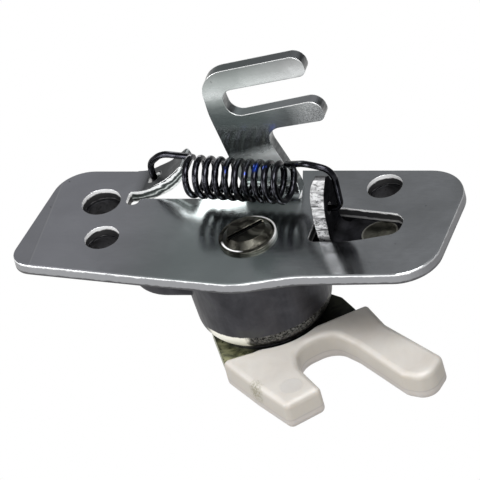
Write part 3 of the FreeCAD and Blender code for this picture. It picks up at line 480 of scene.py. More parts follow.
        # Painted highlight along the crease, and the margin left of it darker.
        line = put(tree, "Math", [parts.outputs["X"], self.crease_mm], operation="SUBTRACT")
        line = put(tree, "Math", [line], operation="ABSOLUTE")
        line = overlap(tree, put(tree, "MapRange", [line, *self.crease_half_mm, 0.0, 0.22]),
                       put(tree, "MapRange", [parts.outputs["Z"], *self.crease_top_mm]))
        tone = put(tree, "Mix", {SHARE: line, UNDER: tone, OVER: linear(self.crease)}, data_type="RGBA")
        margin = put(tree, "MapRange", [parts.outputs["X"], self.crease_mm + 0.1, self.crease_mm - 0.2, 0.0,
                                        0.12])
        tone = put(tree, "Mix", {SHARE: margin, UNDER: tone, OVER: linear(self.margin)}, data_type="RGBA")
        smear = put(tree, "TexNoise", {"Vector": place_mm(tree, (0.3, 1.4, 1.0), (0, 0, 14)), "Scale": 0.12,
                                       "Detail": 5.0, "Roughness": 0.65, "Distortion": 1.0})
        rough = put(tree, "MapRange", [smear, 0.3, 0.72, self.rough_low, self.rough_high])
        matt = put(tree, "Math", [edge, put(tree, "Math", [raised, film], operation="MAXIMUM")],
                   operation="MAXIMUM")
        rough = put(tree, "Mix", {SHARE: matt, FIRST: rough, SECOND: self.rough_sheared})
        crease = put(tree, "MapRange", [parts.outputs["X"], self.crease_mm - 0.5, self.crease_mm + 0.3])
        fine = put(tree, "TexNoise", {"Vector": vector, "Scale": 2.6, "Detail": 3.0, "Roughness": 0.6})
        wide = put(tree, "TexNoise", {"Vector": vector, "Scale": 0.05})
        normal = bumps(tree, [(wide, 0.3, 0.15), (crease, 0.12, 0.5), (grain, 0.008, 0.3),
                              (fine, 0.005, 0.3)], 0.3)
        dull = put(tree, "Math", [put(tree, "Math", [edge, corner], operation="MAXIMUM"),
                                  put(tree, "Math", [film, 1.6], operation="MULTIPLY")], operation="MAXIMUM")
        metal = put(tree, "MapRange", [dull, 0.0, 1.0, 1.0, self.metal_sheared])
        close_material(tree, {"Base Color": tone, "Metallic": metal, "Roughness": rough, "Normal": normal})
        return material


@dataclass(frozen=True)
class DrawnSteel:
    """Deep drawn, dull plated steel: vertical drawing marks, and worn patches and a painted highlight on the
    bottom radius.
    """

    # To the eye: a dark satin grey with upright streaks, and worn patches with a painted near white highlight
    # where the cup's wall turns.
    # Drawing marks are about 0.1 mm wide and drawn at 1.1 mm, so that they show.
    name: str = "dull plated steel, deep drawn"
    streak: str = "#3c3c40"
    olive: str = "#4d5445"
    dark: str = "#3b3b3f"
    light: str = "#545459"
    radius_highlight: str = "#eceadf"
    mottle: str = "#7c7c79"
    soot: str = "#1d1d1d"
    radius_top_mm: float = -15.4
    radius_left_mm: Sequence[float] = (-12.0, -10.0)
    highlight_front_mm: Sequence[float] = (-4.0, -7.0)
    bright_right_mm: Sequence[float] = (2.4, 1.0)
    level_ragged_mm: float = 0.8
    side_ragged_mm: float = 3.0

    def build(self) -> bpy.types.Material:
        """Return the finished material.

        Returns:
            The material.
        """
        material, tree = new_material(self.name)
        vector = place_mm(tree)
        clouds = put(tree, "TexNoise", {"Vector": vector, "Scale": 0.12, "Detail": 4.0, "Roughness": 0.6,
                                        "Distortion": 0.5})
        tone = put(tree, "ValToRGB", [clouds], stops=[(0.3, self.dark), (0.7, self.light)])
        streaks = put(tree, "TexNoise", {"Vector": place_mm(tree, (1.0, 1.0, 0.12)), "Scale": 0.9,
                                         "Detail": 4.0, "Roughness": 0.6})
        tone = put(tree, "Mix", {SHARE: put(tree, "MapRange", [streaks, 0.35, 0.7, 0.0, 0.18]), UNDER: tone,
                                 OVER: linear(self.streak)}, data_type="RGBA")
        tone = put(tree, "Mix", {SHARE: put(tree, "MapRange", [clouds, 0.6, 0.75, 0.0, 0.3]), UNDER: tone,
                                 OVER: linear(self.olive)}, data_type="RGBA")
        parts = put(tree, "SeparateXYZ", [vector])
        level = parts.outputs["Z"]
        ragged = put(tree, "TexNoise", {"Vector": vector, "Scale": 0.75, "Detail": 5.0, "Roughness": 0.7})
        shifted = waver(tree, level, ragged, self.level_ragged_mm)
        worn = put(tree, "MapRange", [shifted, self.radius_top_mm + 0.4, self.radius_top_mm + 0.1])
        worn = overlap(tree, worn, put(tree, "MapRange", [parts.outputs["X"], *self.radius_left_mm]))
        specks = put(tree, "TexNoise", {"Vector": vector, "Scale": 1.5, "Detail": 4.0, "Roughness": 0.7})
        patches = put(tree, "ValToRGB", [specks], stops=[(0.42, self.soot), (0.62, self.mottle)])
        place = waver(tree, parts.outputs["X"], ragged, self.side_ragged_mm)
        # Painted highlight: near white on the front right of the bottom radius; elsewhere on the radius the
        # patches are wear.
        front = put(tree, "MapRange", [parts.outputs["Y"], *self.highlight_front_mm])
        bright = overlap(tree, front, put(tree, "MapRange", [place, *self.bright_right_mm]))
        wear_and_highlight = put(tree, "Mix", {SHARE: bright, UNDER: patches, OVER: linear(self.radius_highlight)}, data_type="RGBA")
        tone = put(tree, "Mix", {SHARE: worn, UNDER: tone, OVER: wear_and_highlight}, data_type="RGBA")
        metal = put(tree, "MapRange", [overlap(tree, worn, bright), 0.0, 1.0, 1.0, 0.3])
        rough = put(tree, "MapRange", [streaks, 0.3, 0.7, 0.36, 0.5])
        fine = put(tree, "TexNoise", {"Vector": vector, "Scale": 1.9, "Detail": 4.0, "Roughness": 0.65})
        normal = bumps(tree, [(streaks, 0.02, 0.2), (fine, 0.02, 0.3)])
        close_material(tree, {"Base Color": tone, "Metallic": metal, "Roughness": rough, "Normal": normal})
        return material


@dataclass(frozen=True)
class WornSteel:
    """Plain metal with patches, fine scratches and, where it is given, a side darkened to black by painted
    shade.
    """

    # To the eye: a dull, uneven metal whose patches tell of oil, passivation or a cast skin.
    # Scratches are about 0.05 mm wide and drawn at 0.5 mm, so that they show.
    name: str
    dark: str
    light: str
    patch: str
    side_shade: str = "#0d0d0d"
    rough_low: float = 0.3
    rough_high: float = 0.55
    scratch: float = 0.25
    round_mm: float = 0.2
    side_shade_mm: Sequence[float] | None = None

    def build(self) -> bpy.types.Material:
        """Return the finished material.

        Returns:
            The material.
        """
        material, tree = new_material(self.name)
        vector = place_mm(tree)
        clouds = put(tree, "TexNoise", {"Vector": vector, "Scale": 0.28, "Detail": 5.0, "Roughness": 0.65,
                                        "Distortion": 0.8})
        tone = put(tree, "ValToRGB", [clouds], stops=[(0.35, self.dark), (0.65, self.light)])
        patches = put(tree, "TexNoise", {"Vector": vector, "Scale": 0.75, "Detail": 3.0, "Roughness": 0.6,
                                         "Distortion": 0.4})
        tone = put(tree, "Mix", {SHARE: put(tree, "MapRange", [patches, 0.58, 0.66, 0.0, 0.7]), UNDER: tone,
                                 OVER: linear(self.patch)}, data_type="RGBA")
        # Painted shade: darker towards one side, near black at its end.
        if self.side_shade_mm:
            side = put(tree, "SeparateXYZ", [vector]).outputs["X"]
            shaded_side = put(tree, "MapRange", [side, *self.side_shade_mm, 0.0, 0.93])
            tone = put(tree, "Mix", {SHARE: shaded_side, UNDER: tone, OVER: linear(self.side_shade)}, data_type="RGBA")
        lines = put(tree, "TexNoise", {"Vector": place_mm(tree, (0.18, 1.6, 1.6), (0, 0, 35)), "Scale": 2.2,
                                       "Detail": 3.0, "Roughness": 0.6})
        rough = put(tree, "MapRange", [clouds, 0.3, 0.7, self.rough_low, self.rough_high])
        fine = put(tree, "TexNoise", {"Vector": vector, "Scale": 2.4, "Detail": 3.0, "Roughness": 0.6})
        normal = bumps(tree, [(lines, 0.02, self.scratch), (fine, 0.015, 0.25)], self.round_mm)
        close_material(tree, {"Base Color": tone, "Metallic": 1.0, "Roughness": rough, "Normal": normal})
        return material


@dataclass(frozen=True)
class ScuffedEar:
    """Blackened steel with wear marks and a painted highlight on its front faces, and a weaker painted highlight
    on its top.
    """

    # To the eye: near black faces beside a scarred front edge that painted highlight makes almost white.
    # Its pits are about 0.2 mm wide and drawn at 0.9 mm, so that they show.
    name: str = "blackened steel, front edge rubbed bright"
    dark: str = "#262628"
    light: str = "#414145"
    bright: str = "#dcdcdd"
    worn: str = "#8e8e8f"
    deep: str = "#2b2b2c"
    tint: str = "#8c8c8e"
    rough: float = 0.5
    metal_bright: float = 0.35
    rubbed_from_mm: Sequence[float] = (0.6, 2.6)

    def build(self) -> bpy.types.Material:
        """Return the finished material.

        Returns:
            The material.
        """
        material, tree = new_material(self.name)
        vector = place_mm(tree)
        clouds = put(tree, "TexNoise", {"Vector": vector, "Scale": 0.3, "Detail": 4.0, "Roughness": 0.6,
                                        "Distortion": 0.5})
        tone = put(tree, "ValToRGB", [clouds], stops=[(0.35, self.dark), (0.7, self.light)])
        face = put(tree, "NewGeometry").outputs["True Normal"]
        parts = put(tree, "SeparateXYZ", [face])
        height = put(tree, "SeparateXYZ", [vector]).outputs["Z"]
        # Painted highlight, with wear marks in it: full on faces that face the front, a quarter on faces that
        # face up.
        front = put(tree, "MapRange", [parts.outputs["Y"], -0.6, -0.85])
        top_highlight = put(tree, "MapRange", [parts.outputs["Z"], 0.5, 0.8, 0.0, 0.25])
        front = put(tree, "Math", [front, top_highlight], operation="MAXIMUM")
        front = overlap(tree, front, put(tree, "MapRange", [height, *self.rubbed_from_mm]))
        bands = put(tree, "TexNoise", {"Vector": place_mm(tree, (0.6, 1.0, 1.2)), "Scale": 0.45, "Detail": 4.0,
                                       "Roughness": 0.6, "Distortion": 0.6})
        rubbed = put(tree, "ValToRGB", [bands], stops=[(0.40, self.worn), (0.56, self.bright)])
        pits = put(tree, "TexNoise", {"Vector": place_mm(tree, (0.7, 1.0, 1.0), (0, 48, 0)), "Scale": 1.1,
                                      "Detail": 4.0, "Roughness": 0.7})
        rubbed = put(tree, "Mix", {SHARE: put(tree, "MapRange", [pits, 0.55, 0.62, 0.0, 0.8]), UNDER: rubbed,
                                   OVER: linear(self.deep)}, data_type="RGBA")
        gouge = put(tree, "TexNoise", {"Vector": place_mm(tree, (0.22, 1.0, 2.2), (0, -40, 0)), "Scale": 0.8})
        rubbed = put(tree, "Mix", {SHARE: put(tree, "MapRange", [gouge, 0.62, 0.66, 0.0, 0.85]), UNDER: rubbed,
                                   OVER: linear(self.deep)}, data_type="RGBA")
        tone = put(tree, "Mix", {SHARE: front, UNDER: tone, OVER: rubbed}, data_type="RGBA")
        metal = put(tree, "MapRange", [front, 0.0, 1.0, 1.0, self.metal_bright])
        lines = put(tree, "TexNoise", {"Vector": place_mm(tree, (0.3, 1.6, 1.6), (0, 25, 0)), "Scale": 1.6,
                                       "Detail": 3.0, "Roughness": 0.6})
        normal = bumps(tree, [(lines, 0.02, 0.3), (pits, 0.03, 0.35)], 0.3)
        close_material(tree, {"Base Color": tone, "Metallic": metal, "Roughness": self.rough,
                              "Normal": normal, "Specular Tint": linear(self.tint)})
        return material


@dataclass(frozen=True)
class RivetHead:
    """Oily countersunk rivet with a painted highlight ring along its rim."""

    # To the eye: a brown-grey disc with a paler ring along its rim, a painted highlight.
    name: str = "steel rivet, peened flush and oily"
    centre_mm: Sequence[float] = (32.8, 5.5)
    radius_mm: float = 4.7
    dark: str = "#3d3d35"
    light: str = "#78766b"
    rim: str = "#a3a198"
    rough: float = 0.32

    def build(self) -> bpy.types.Material:
        """Return the finished material.

        Returns:
            The material.
        """
        material, tree = new_material(self.name)
        vector = place_mm(tree)
        clouds = put(tree, "TexNoise", {"Vector": vector, "Scale": 0.35, "Detail": 4.0, "Roughness": 0.6,
                                        "Distortion": 0.5})
        tone = put(tree, "ValToRGB", [clouds], stops=[(0.35, self.dark), (0.7, self.light)])
        parts = put(tree, "SeparateXYZ", [vector])
        flat = put(tree, "CombineXYZ", [parts.outputs["X"], parts.outputs["Y"]])
        away = put(tree, "VectorMath", [flat, (*self.centre_mm, 0.0)], operation="DISTANCE")
        # Painted highlight: a paler ring along the rim.
        ring = put(tree, "MapRange", [away, self.radius_mm - 0.5, self.radius_mm - 0.3])
        tone = put(tree, "Mix", {SHARE: ring, UNDER: tone, OVER: linear(self.rim)}, data_type="RGBA")
        dome = put(tree, "MapRange", [away, 0.0, self.radius_mm, 1.0, 0.0])
        fine = put(tree, "TexNoise", {"Vector": vector, "Scale": 1.8, "Detail": 3.0, "Roughness": 0.6})
        normal = bumps(tree, [(dome, 0.9, 0.6), (ring, 0.12, 0.5), (fine, 0.02, 0.3)])
        close_material(tree, {"Base Color": tone, "Metallic": 1.0, "Roughness": self.rough,
                              "Normal": normal})
        return material


@dataclass(frozen=True)
class PeenedHead:
    """Brownish steel head with painted shade in its groove and on its front half, a painted highlight line at
    the front and a painted highlight arc on the washer behind.
    """

    # To the eye: a dark olive-brown gloss, a slot made black by painted shade and one thin painted white
    # highlight crescent.
    name: str = "steel, peened over, brown oil film"
    dark: str = "#46443d"
    light: str = "#8d8b80"
    head_shade: str = "#0f0f0f"
    bright: str = "#ffffff"
    floor_mm: float = 4.8
    top_mm: float = 5.6
    groove_end_mm: Sequence[float] = (5.1, 4.9)
    line_mm: Sequence[float] = (6.35, 6.5, 6.85, 6.95)
    washer_mm: Sequence[float] = (6.9, 7.05)
    line_way: Sequence[float] = (-0.50, -0.87, 0.0)
    washer_way: Sequence[float] = (0.77, 0.64, 0.0)
    rough: float = 0.34
    metal_bright: float = 0.2

    def build(self) -> bpy.types.Material:
        """Return the finished material.

        Returns:
            The material.
        """
        material, tree = new_material(self.name)
        vector = place_mm(tree)
        parts = put(tree, "SeparateXYZ", [vector])
        clouds = put(tree, "TexNoise", {"Vector": vector, "Scale": 0.22, "Detail": 3.0, "Distortion": 0.8})
        tone = put(tree, "ValToRGB", [clouds], stops=[(0.44, self.dark), (0.56, self.light)])
        height = parts.outputs["Z"]
        # Painted shade: the floor of the groove black.
        deep = put(tree, "MapRange", [height, self.top_mm - 0.05, self.top_mm - 0.3])
        above = put(tree, "MapRange", [height, self.floor_mm - 0.1, self.floor_mm - 0.02])
        flat = put(tree, "CombineXYZ", [parts.outputs["X"], parts.outputs["Y"]])
        away = put(tree, "VectorMath", [flat], operation="LENGTH")
        centre = put(tree, "MapRange", [away, *self.groove_end_mm])
        head_shade = overlap(tree, centre, deep, above)
        tone = put(tree, "Mix", {SHARE: head_shade, UNDER: tone, OVER: linear(self.head_shade)}, data_type="RGBA")
        spoke = put(tree, "VectorMath", [flat], operation="NORMALIZE")
        front = put(tree, "VectorMath", [spoke, self.line_way], operation="DOT_PRODUCT")
        rear = put(tree, "VectorMath", [spoke, self.washer_way], operation="DOT_PRODUCT")
        # Painted shade: the head's front half darker.
        tone = put(tree, "Mix", {SHARE: put(tree, "MapRange", [front, -0.1, 0.6, 0.0, 0.75]), UNDER: tone,
                                 OVER: linear(self.head_shade)}, data_type="RGBA")
        # Painted highlights: a thin white line at the front edge and an arc on the washer behind.
        inner, inner_full, outer_full, outer = self.line_mm
        rim = overlap(tree, put(tree, "MapRange", [front, 0.80, 0.92]),
                      put(tree, "MapRange", [away, inner, inner_full]),
                      put(tree, "MapRange", [away, outer, outer_full]))
        arc = overlap(tree, put(tree, "MapRange", [rear, 0.35, 0.75, 0.0, 0.8]),
                      put(tree, "MapRange", [away, *self.washer_mm]))
        rim = put(tree, "Math", [rim, arc], operation="MAXIMUM")
        tone = put(tree, "Mix", {SHARE: rim, UNDER: tone, OVER: linear(self.bright)}, data_type="RGBA")
        metal = put(tree, "MapRange", [rim, 0.0, 1.0, 1.0, self.metal_bright])
        fine = put(tree, "TexNoise", {"Vector": vector, "Scale": 2.0, "Detail": 3.0, "Roughness": 0.6})
        wide = put(tree, "TexNoise", {"Vector": vector, "Scale": 0.3})
        normal = bumps(tree, [(wide, 0.5, 0.5), (fine, 0.015, 0.25)], 0.3)
        close_material(tree, {"Base Color": tone, "Metallic": metal, "Roughness": self.rough,
                              "Normal": normal})
        return material


@dataclass(frozen=True)
class OiledWire:
    """Oil-blackened spring wire: dark, glossy, with fine drawing lines and blue marks on a few turns."""

    # To the eye: almost black and glossy, with lights that run along each turn.
    # Drawing lines are about 0.02 mm wide and drawn as a 0.4 mm grain, so that they show.
    name: str = "spring steel wire, oiled"
    dark: str = "#1a1a1e"
    light: str = "#404045"
    mark: str = "#2745a8"
    mark_mm: Sequence[float] = (-0.6, 10.2, 16.8)
    mark_stretch: Sequence[float] = (0.3, 1.0, 1.0)
    mark_edge_mm: Sequence[float] = (1.0, 0.5)
    mark_ragged_mm: float = -1.6
    rough_low: float = 0.13
    rough_high: float = 0.24

    def build(self) -> bpy.types.Material:
        """Return the finished material.

        Returns:
            The material.
        """
        material, tree = new_material(self.name)
        vector = place_mm(tree)
        clouds = put(tree, "TexNoise", {"Vector": vector, "Scale": 0.35, "Detail": 4.0, "Roughness": 0.6,
                                        "Distortion": 0.6})
        tone = put(tree, "ValToRGB", [clouds], stops=[(0.35, self.dark), (0.7, self.light)])
        offset = put(tree, "VectorMath", [vector, self.mark_mm], operation="SUBTRACT")
        offset = put(tree, "VectorMath", [offset, self.mark_stretch], operation="MULTIPLY")
        away = put(tree, "VectorMath", [offset], operation="LENGTH")
        blots = put(tree, "TexNoise", {"Vector": vector, "Scale": 0.7, "Detail": 3.0})
        ragged = waver(tree, away, blots, self.mark_ragged_mm)
        turns = put(tree, "TexNoise", {"Vector": place_mm(tree, (1.0, 0.5, 0.5)), "Scale": 0.42})
        share = overlap(tree, put(tree, "MapRange", [turns, 0.44, 0.52, 0.0, 0.85]),
                        put(tree, "MapRange", [ragged, *self.mark_edge_mm]))
        tone = put(tree, "Mix", {SHARE: share, UNDER: tone, OVER: linear(self.mark)}, data_type="RGBA")
        oil = put(tree, "TexNoise", {"Vector": vector, "Scale": 0.9, "Detail": 3.0})
        rough = put(tree, "MapRange", [oil, 0.3, 0.7, self.rough_low, self.rough_high])
        fine = put(tree, "TexNoise", {"Vector": vector, "Scale": 2.8, "Detail": 3.0, "Roughness": 0.6})
        normal = bumps(tree, [(fine, 0.012, 0.3)])
        close_material(tree, {"Base Color": tone, "Metallic": 1.0, "Roughness": rough, "Normal": normal})
        return material


@dataclass(frozen=True)
class CreamMoulding:
    """Satin cream nylon, injection moulded: a faint sink mark, specks, an oily smudge, and painted shade on its
    walls and in the sink mark.
    """

    # To the eye: a soft, slightly glowing cream, greyer on its walls by painted shade, with a fine parting line.
    # The mould's grain is about 0.1 mm and drawn at 0.7 mm, so that it shows.
    name: str = "cream nylon, injection moulded"
    base: str = "#c4c0ba"
    shade: str = "#b5afa8"
    # Painted shade: a grey on upright walls, a lilac-grey on walls below the parting line, and a grey in the
    # sink mark.
    wall: str = "#9d968b"
    dirt: str = "#55541f"
    seam: str = "#8b868c"
    lower_wall_shade: str = "#b3adb6"
    sink: str = "#a8a8a8"
    speck: str = "#a99f90"
    smudge_mm: Sequence[float] = (4.8, -30.4, -22.5)
    sink_mm: Sequence[float] = (14.7, -30.6, -20.0)
    seam_mm: float = -25.2
    seam_half_mm: Sequence[float] = (0.22, 0.08)
    under_mm: float = 0.6
    smudge_ragged_mm: float = -5.0
    smudge_edge_mm: Sequence[float] = (0.9, -0.9)
    sink_edge_mm: Sequence[float] = (3.8, 3.2)
    rough_low: float = 0.34
    rough_high: float = 0.46
    glow: float = 0.25
    glow_radius: Sequence[float] = (0.9, 0.7, 0.5)
    glow_mm: float = 1.2

    def build(self) -> bpy.types.Material:
        """Return the finished material.

        Returns:
            The material.
        """
        material, tree = new_material(self.name)
        vector = place_mm(tree)
        clouds = put(tree, "TexNoise", {"Vector": vector, "Scale": 0.07, "Detail": 4.0, "Roughness": 0.6,
                                        "Distortion": 0.4})
        tone = put(tree, "ValToRGB", [clouds], stops=[(0.3, self.shade), (0.65, self.base)])
        specks = put(tree, "TexNoise", {"Vector": vector, "Scale": 0.95, "Roughness": 0.6})
        tone = put(tree, "Mix", {SHARE: put(tree, "MapRange", [specks, 0.735, 0.76, 0.0, 0.7]), UNDER: tone,
                                 OVER: linear(self.speck)}, data_type="RGBA")
        away = put(tree, "VectorMath", [vector, self.smudge_mm], operation="DISTANCE")
        ragged = put(tree, "TexNoise", {"Vector": vector, "Scale": 0.8, "Detail": 5.0, "Roughness": 0.75,
                                        "Distortion": 0.8})
        reach = waver(tree, away, ragged, self.smudge_ragged_mm)
        grime = put(tree, "TexNoise", {"Vector": vector, "Scale": 1.5, "Detail": 4.0, "Roughness": 0.7})
        stain = overlap(tree, put(tree, "MapRange", [reach, *self.smudge_edge_mm, 0.0, 0.95]),
                        put(tree, "MapRange", [grime, 0.40, 0.56, 0.15, 1.0]))
        tone = put(tree, "Mix", {SHARE: stain, UNDER: tone, OVER: linear(self.dirt)}, data_type="RGBA")
        level = put(tree, "SeparateXYZ", [vector]).outputs["Z"]
        off = put(tree, "Math", [level, self.seam_mm], operation="SUBTRACT")
        off = put(tree, "Math", [off], operation="ABSOLUTE")
        walls = upright_share(tree)
        line = overlap(tree, walls, put(tree, "MapRange", [off, *self.seam_half_mm, 0.0, 0.4]))
        lower_wall_shade = overlap(tree, walls, put(tree, "MapRange", [level, self.seam_mm, self.seam_mm - self.under_mm,
                                                            0.0, 0.2]))
        # Painted shade: upright walls greyer, lilac-grey below the parting line.
        tone = put(tree, "Mix", {SHARE: put(tree, "Math", [walls, 0.55], operation="MULTIPLY"), UNDER: tone,
                                 OVER: linear(self.wall)}, data_type="RGBA")
        tone = put(tree, "Mix", {SHARE: lower_wall_shade, UNDER: tone, OVER: linear(self.lower_wall_shade)}, data_type="RGBA")
        tone = put(tree, "Mix", {SHARE: line, UNDER: tone, OVER: linear(self.seam)}, data_type="RGBA")
        # Painted shade in the sink mark.
        dip = put(tree, "VectorMath", [vector, self.sink_mm], operation="DISTANCE")
        dip = put(tree, "MapRange", [put(tree, "Math", [dip, ragged], operation="ADD"), *self.sink_edge_mm])
        tone = put(tree, "Mix", {SHARE: put(tree, "Math", [dip, 0.3], operation="MULTIPLY"), UNDER: tone,
                                 OVER: linear(self.sink)}, data_type="RGBA")
        fine = put(tree, "TexNoise", {"Vector": vector, "Scale": 1.4, "Detail": 3.0, "Roughness": 0.6})
        wide = put(tree, "TexNoise", {"Vector": vector, "Scale": 0.10})
        normal = bumps(tree, [(wide, 0.5, 0.3), (dip, 0.15, 0.3), (fine, 0.012, 0.25)])
        rough = put(tree, "MapRange", [clouds, 0.3, 0.7, self.rough_low, self.rough_high])
        close_material(tree, {"Base Color": tone, "Roughness": rough, "Normal": normal,
                              "Subsurface Weight": self.glow, "Subsurface Radius": self.glow_radius,
                              "Subsurface Scale": self.glow_mm * MM})
        return material


@dataclass
class Wardrobe:
    """Every finish of the lock, built once and shared by its pieces."""

    zinc: bpy.types.Material = field(default_factory=lambda: ZincSheet().build())
    drawn: bpy.types.Material = field(default_factory=lambda: DrawnSteel().build())
    wire: bpy.types.Material = field(default_factory=lambda: OiledWire().build())
    cream: bpy.types.Material = field(default_factory=lambda: CreamMoulding().build())
    ear: bpy.types.Material = field(default_factory=lambda: ScuffedEar().build())
    rivet: bpy.types.Material = field(default_factory=lambda: RivetHead().build())
    head: bpy.types.Material = field(default_factory=lambda: PeenedHead().build())
    # Painted shade: the core turns black towards its right side.
    core: bpy.types.Material = field(default_factory=lambda: WornSteel(
        "steel, worn yellow passivation", dark="#5c6052", light="#b9ba98", patch="#30322a",
        rough_low=0.3, rough_high=0.5, scratch=0.4, side_shade_mm=(-2.0, 4.0)).build())
    dark: bpy.types.Material = field(default_factory=lambda: WornSteel(
        "steel, oiled", dark="#2c2c2e", light="#4a4a4d", patch="#1b1b1c",
        rough_low=0.35, rough_high=0.55).build())
    bush: bpy.types.Material = field(default_factory=lambda: WornSteel(
        "bronze, sintered and oiled", dark="#5b4a30", light="#7f6a48", patch="#33291b",
        rough_low=0.4, rough_high=0.6).build())


def dress(node: str, material: bpy.types.Material) -> bpy.types.Object:
    """Give a piece its finish.

    Args:
        node: The piece's name.
        material: Its finish.

    Returns:
        The object.
    """
    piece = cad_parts[node]
    piece.data.materials.clear()
    piece.data.materials.append(material)
    LOG.info("dressed %s with %s", node, material.name)
    return piece


def smooth(piece: bpy.types.Object, degrees: float = 30.0) -> None:
    """Smooth the gentle facets of a piece and keep its sharp edges.

    Args:
        piece: The object.
        degrees: Largest angle that counts as gentle.
    """
    bpy.ops.object.select_all(action="DESELECT")
    piece.select_set(True)
    bpy.context.view_layer.objects.active = piece
    bpy.ops.object.shade_smooth_by_angle(angle=math.radians(degrees))


def corner_points(before: Vector, here: Vector, after: Vector, radius: float, step: float) -> list[Vector]:
    """Round one corner of a wire's path.

    Args:
        before: Point before the corner.
        here: The corner.
        after: Point after it.
        radius: Radius of the bend.
        step: Angle between points, in radians.

    Returns:
        Points along the bend.
    """
    back = (before - here).normalized()
    onward = (after - here).normalized()
    half = back.angle(onward) / 2.0
    reach = radius / math.tan(half)
    centre = here + (back + onward).normalized() * (radius / math.sin(half))
    start = here + back * reach - centre
    end = here + onward * reach - centre
    turn = start.angle(end)
    axis = start.cross(end).normalized()
    count = max(2, math.ceil(turn / step))
    return [centre + Matrix.Rotation(turn * k / count, 3, axis) @ start for k in range(count + 1)]


def bent_path(start: Vector, corners: Sequence[tuple[Vector, float]], end: Vector,
              step: float = 0.16) -> list[Vector]:
    """Straight runs joined by round bends.

    Args:
        start: First point.
        corners: Point and radius of each bend.
        end: Last point.
        step: Angle between points of a bend, in radians.

    Returns:
        Points from the first run's end to the last point.
    """
    places = [start] + [point for point, _ in corners] + [end]
    points: list[Vector] = []
    for index, (point, radius) in enumerate(corners, start=1):
        points += corner_points(places[index - 1], point, places[index + 1], radius, step)
    points.append(end)
    return points


@dataclass
class CoilSpring:
    """Round wire wound into a coil with a bent run at both ends; sizes in millimetres."""

    name: str
    base: Vector
    axis: Vector
    side: Vector
    long: float
    radius: float
    wire: float
    turns: float
    head: Sequence[tuple[Vector, float]]
    head_end: Vector
    tail: Sequence[tuple[Vector, float]]
    tail_end: Vector
    steps: int = 36
    facets: int = 4
    smooth_degrees: float = 40.0

    def station(self, index: int) -> Vector:
        """Return one point of the coil's centre line.

        Args:
            index: Number of the point along the coil.

        Returns:
            The point, in millimetres.
        """
        across = self.axis.cross(self.side)
        angle = 2.0 * math.pi * index / self.steps
        spoke = self.side * math.cos(angle) + across * math.sin(angle)
        rise = self.long * index / (self.turns * self.steps)
        return self.base + spoke * self.radius + self.axis * rise

    def centre_line(self) -> list[Vector]:
        """Return the whole centre line from one wire end to the other.

        Returns:
            The points, in millimetres.
        """
        count = round(self.turns * self.steps)
        middle = [self.station(k) for k in range(count + 1)]
        first = bent_path(middle[0], self.head, self.head_end)
        last = bent_path(middle[-1], self.tail, self.tail_end)
        return list(reversed(first)) + middle + last

    def build(self, material: bpy.types.Material) -> bpy.types.Object:
        """Model the wire.

        Args:
            material: Its finish.

        Returns:
            The spring as a mesh.
        """
        points = self.centre_line()
        bpy.ops.curve.primitive_nurbs_path_add()
        wire = bpy.context.object
        wire.name = self.name
        wire.data.splines.clear()
        spline = wire.data.splines.new("POLY")
        spline.points.add(len(points) - 1)
        for point, place in zip(spline.points, points):
            point.co = (place.x * MM, place.y * MM, place.z * MM, 1.0)
        wire.location = (0.0, 0.0, 0.0)
        wire.data.dimensions = "3D"
        wire.data.bevel_depth = self.wire * MM
        wire.data.bevel_resolution = self.facets
        wire.data.use_fill_caps = True
        bpy.ops.object.convert(target="MESH")
        wire = bpy.context.object
        wire.data.materials.clear()
        wire.data.materials.append(material)
        smooth(wire, self.smooth_degrees)
        LOG.info("wound %s: %d facets", self.name, len(wire.data.polygons))
        return wire


@dataclass
class PawlSpring:
    """Extension spring between the plate's tab and the ear; sizes in millimetres."""

    left: Vector = field(default_factory=lambda: Vector((-17.1, 13.3, 11.76)))
    right: Vector = field(default_factory=lambda: Vector((9.7, 10.9, 11.46)))
    lean: Vector = field(default_factory=lambda: Vector((0.0, 0.64, 0.77)))
    radius: float = 4.7
    wire: float = 0.85
    turns: float = 10.0
    leave: float = 2.0
    left_round: float = 1.6
    right_round: float = 1.5
    left_bends: Sequence[tuple[Sequence[float], float]] = (
        ((-26.4, 20.2, 13.3), 7.0), ((-31.0, 21.6, 9.0), 5.0), ((-30.6, 21.7, 2.2), 2.5))
    right_bends: Sequence[tuple[Sequence[float], float]] = (
        ((19.0, 4.2, 23.4), 6.0), ((25.6, 4.3, 21.0), 4.0), ((25.1, 4.25, 8.9), 2.5))
    left_tip: Sequence[float] = (-27.4, 21.9, 0.8)
    right_tip: Sequence[float] = (17.2, 4.25, 8.9)

    def build(self, material: bpy.types.Material) -> bpy.types.Object:
        """Wind the spring and hang it between frame and pawl.

        Args:
            material: Its finish.

        Returns:
            The spring as a mesh.
        """
        run = self.right - self.left
        axis = run.normalized()
        side = (self.lean - axis * axis.dot(self.lean)).normalized()
        way = axis.cross(side)
        start = self.left + side * self.radius
        end = self.right + side * self.radius
        head = [(start - way * self.leave, self.left_round)]
        head += [(Vector(place), radius) for place, radius in self.left_bends]
        tail = [(end + way * self.leave, self.right_round)]
        tail += [(Vector(place), radius) for place, radius in self.right_bends]
        coil = CoilSpring("extension_spring", base=self.left, axis=axis, side=side, long=run.length,
                          radius=self.radius, wire=self.wire, turns=self.turns, head=head,
                          head_end=Vector(self.left_tip), tail=tail, tail_end=Vector(self.right_tip))
        spring = coil.build(material)
        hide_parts("pawl_spring")
        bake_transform(spring)
        return spring


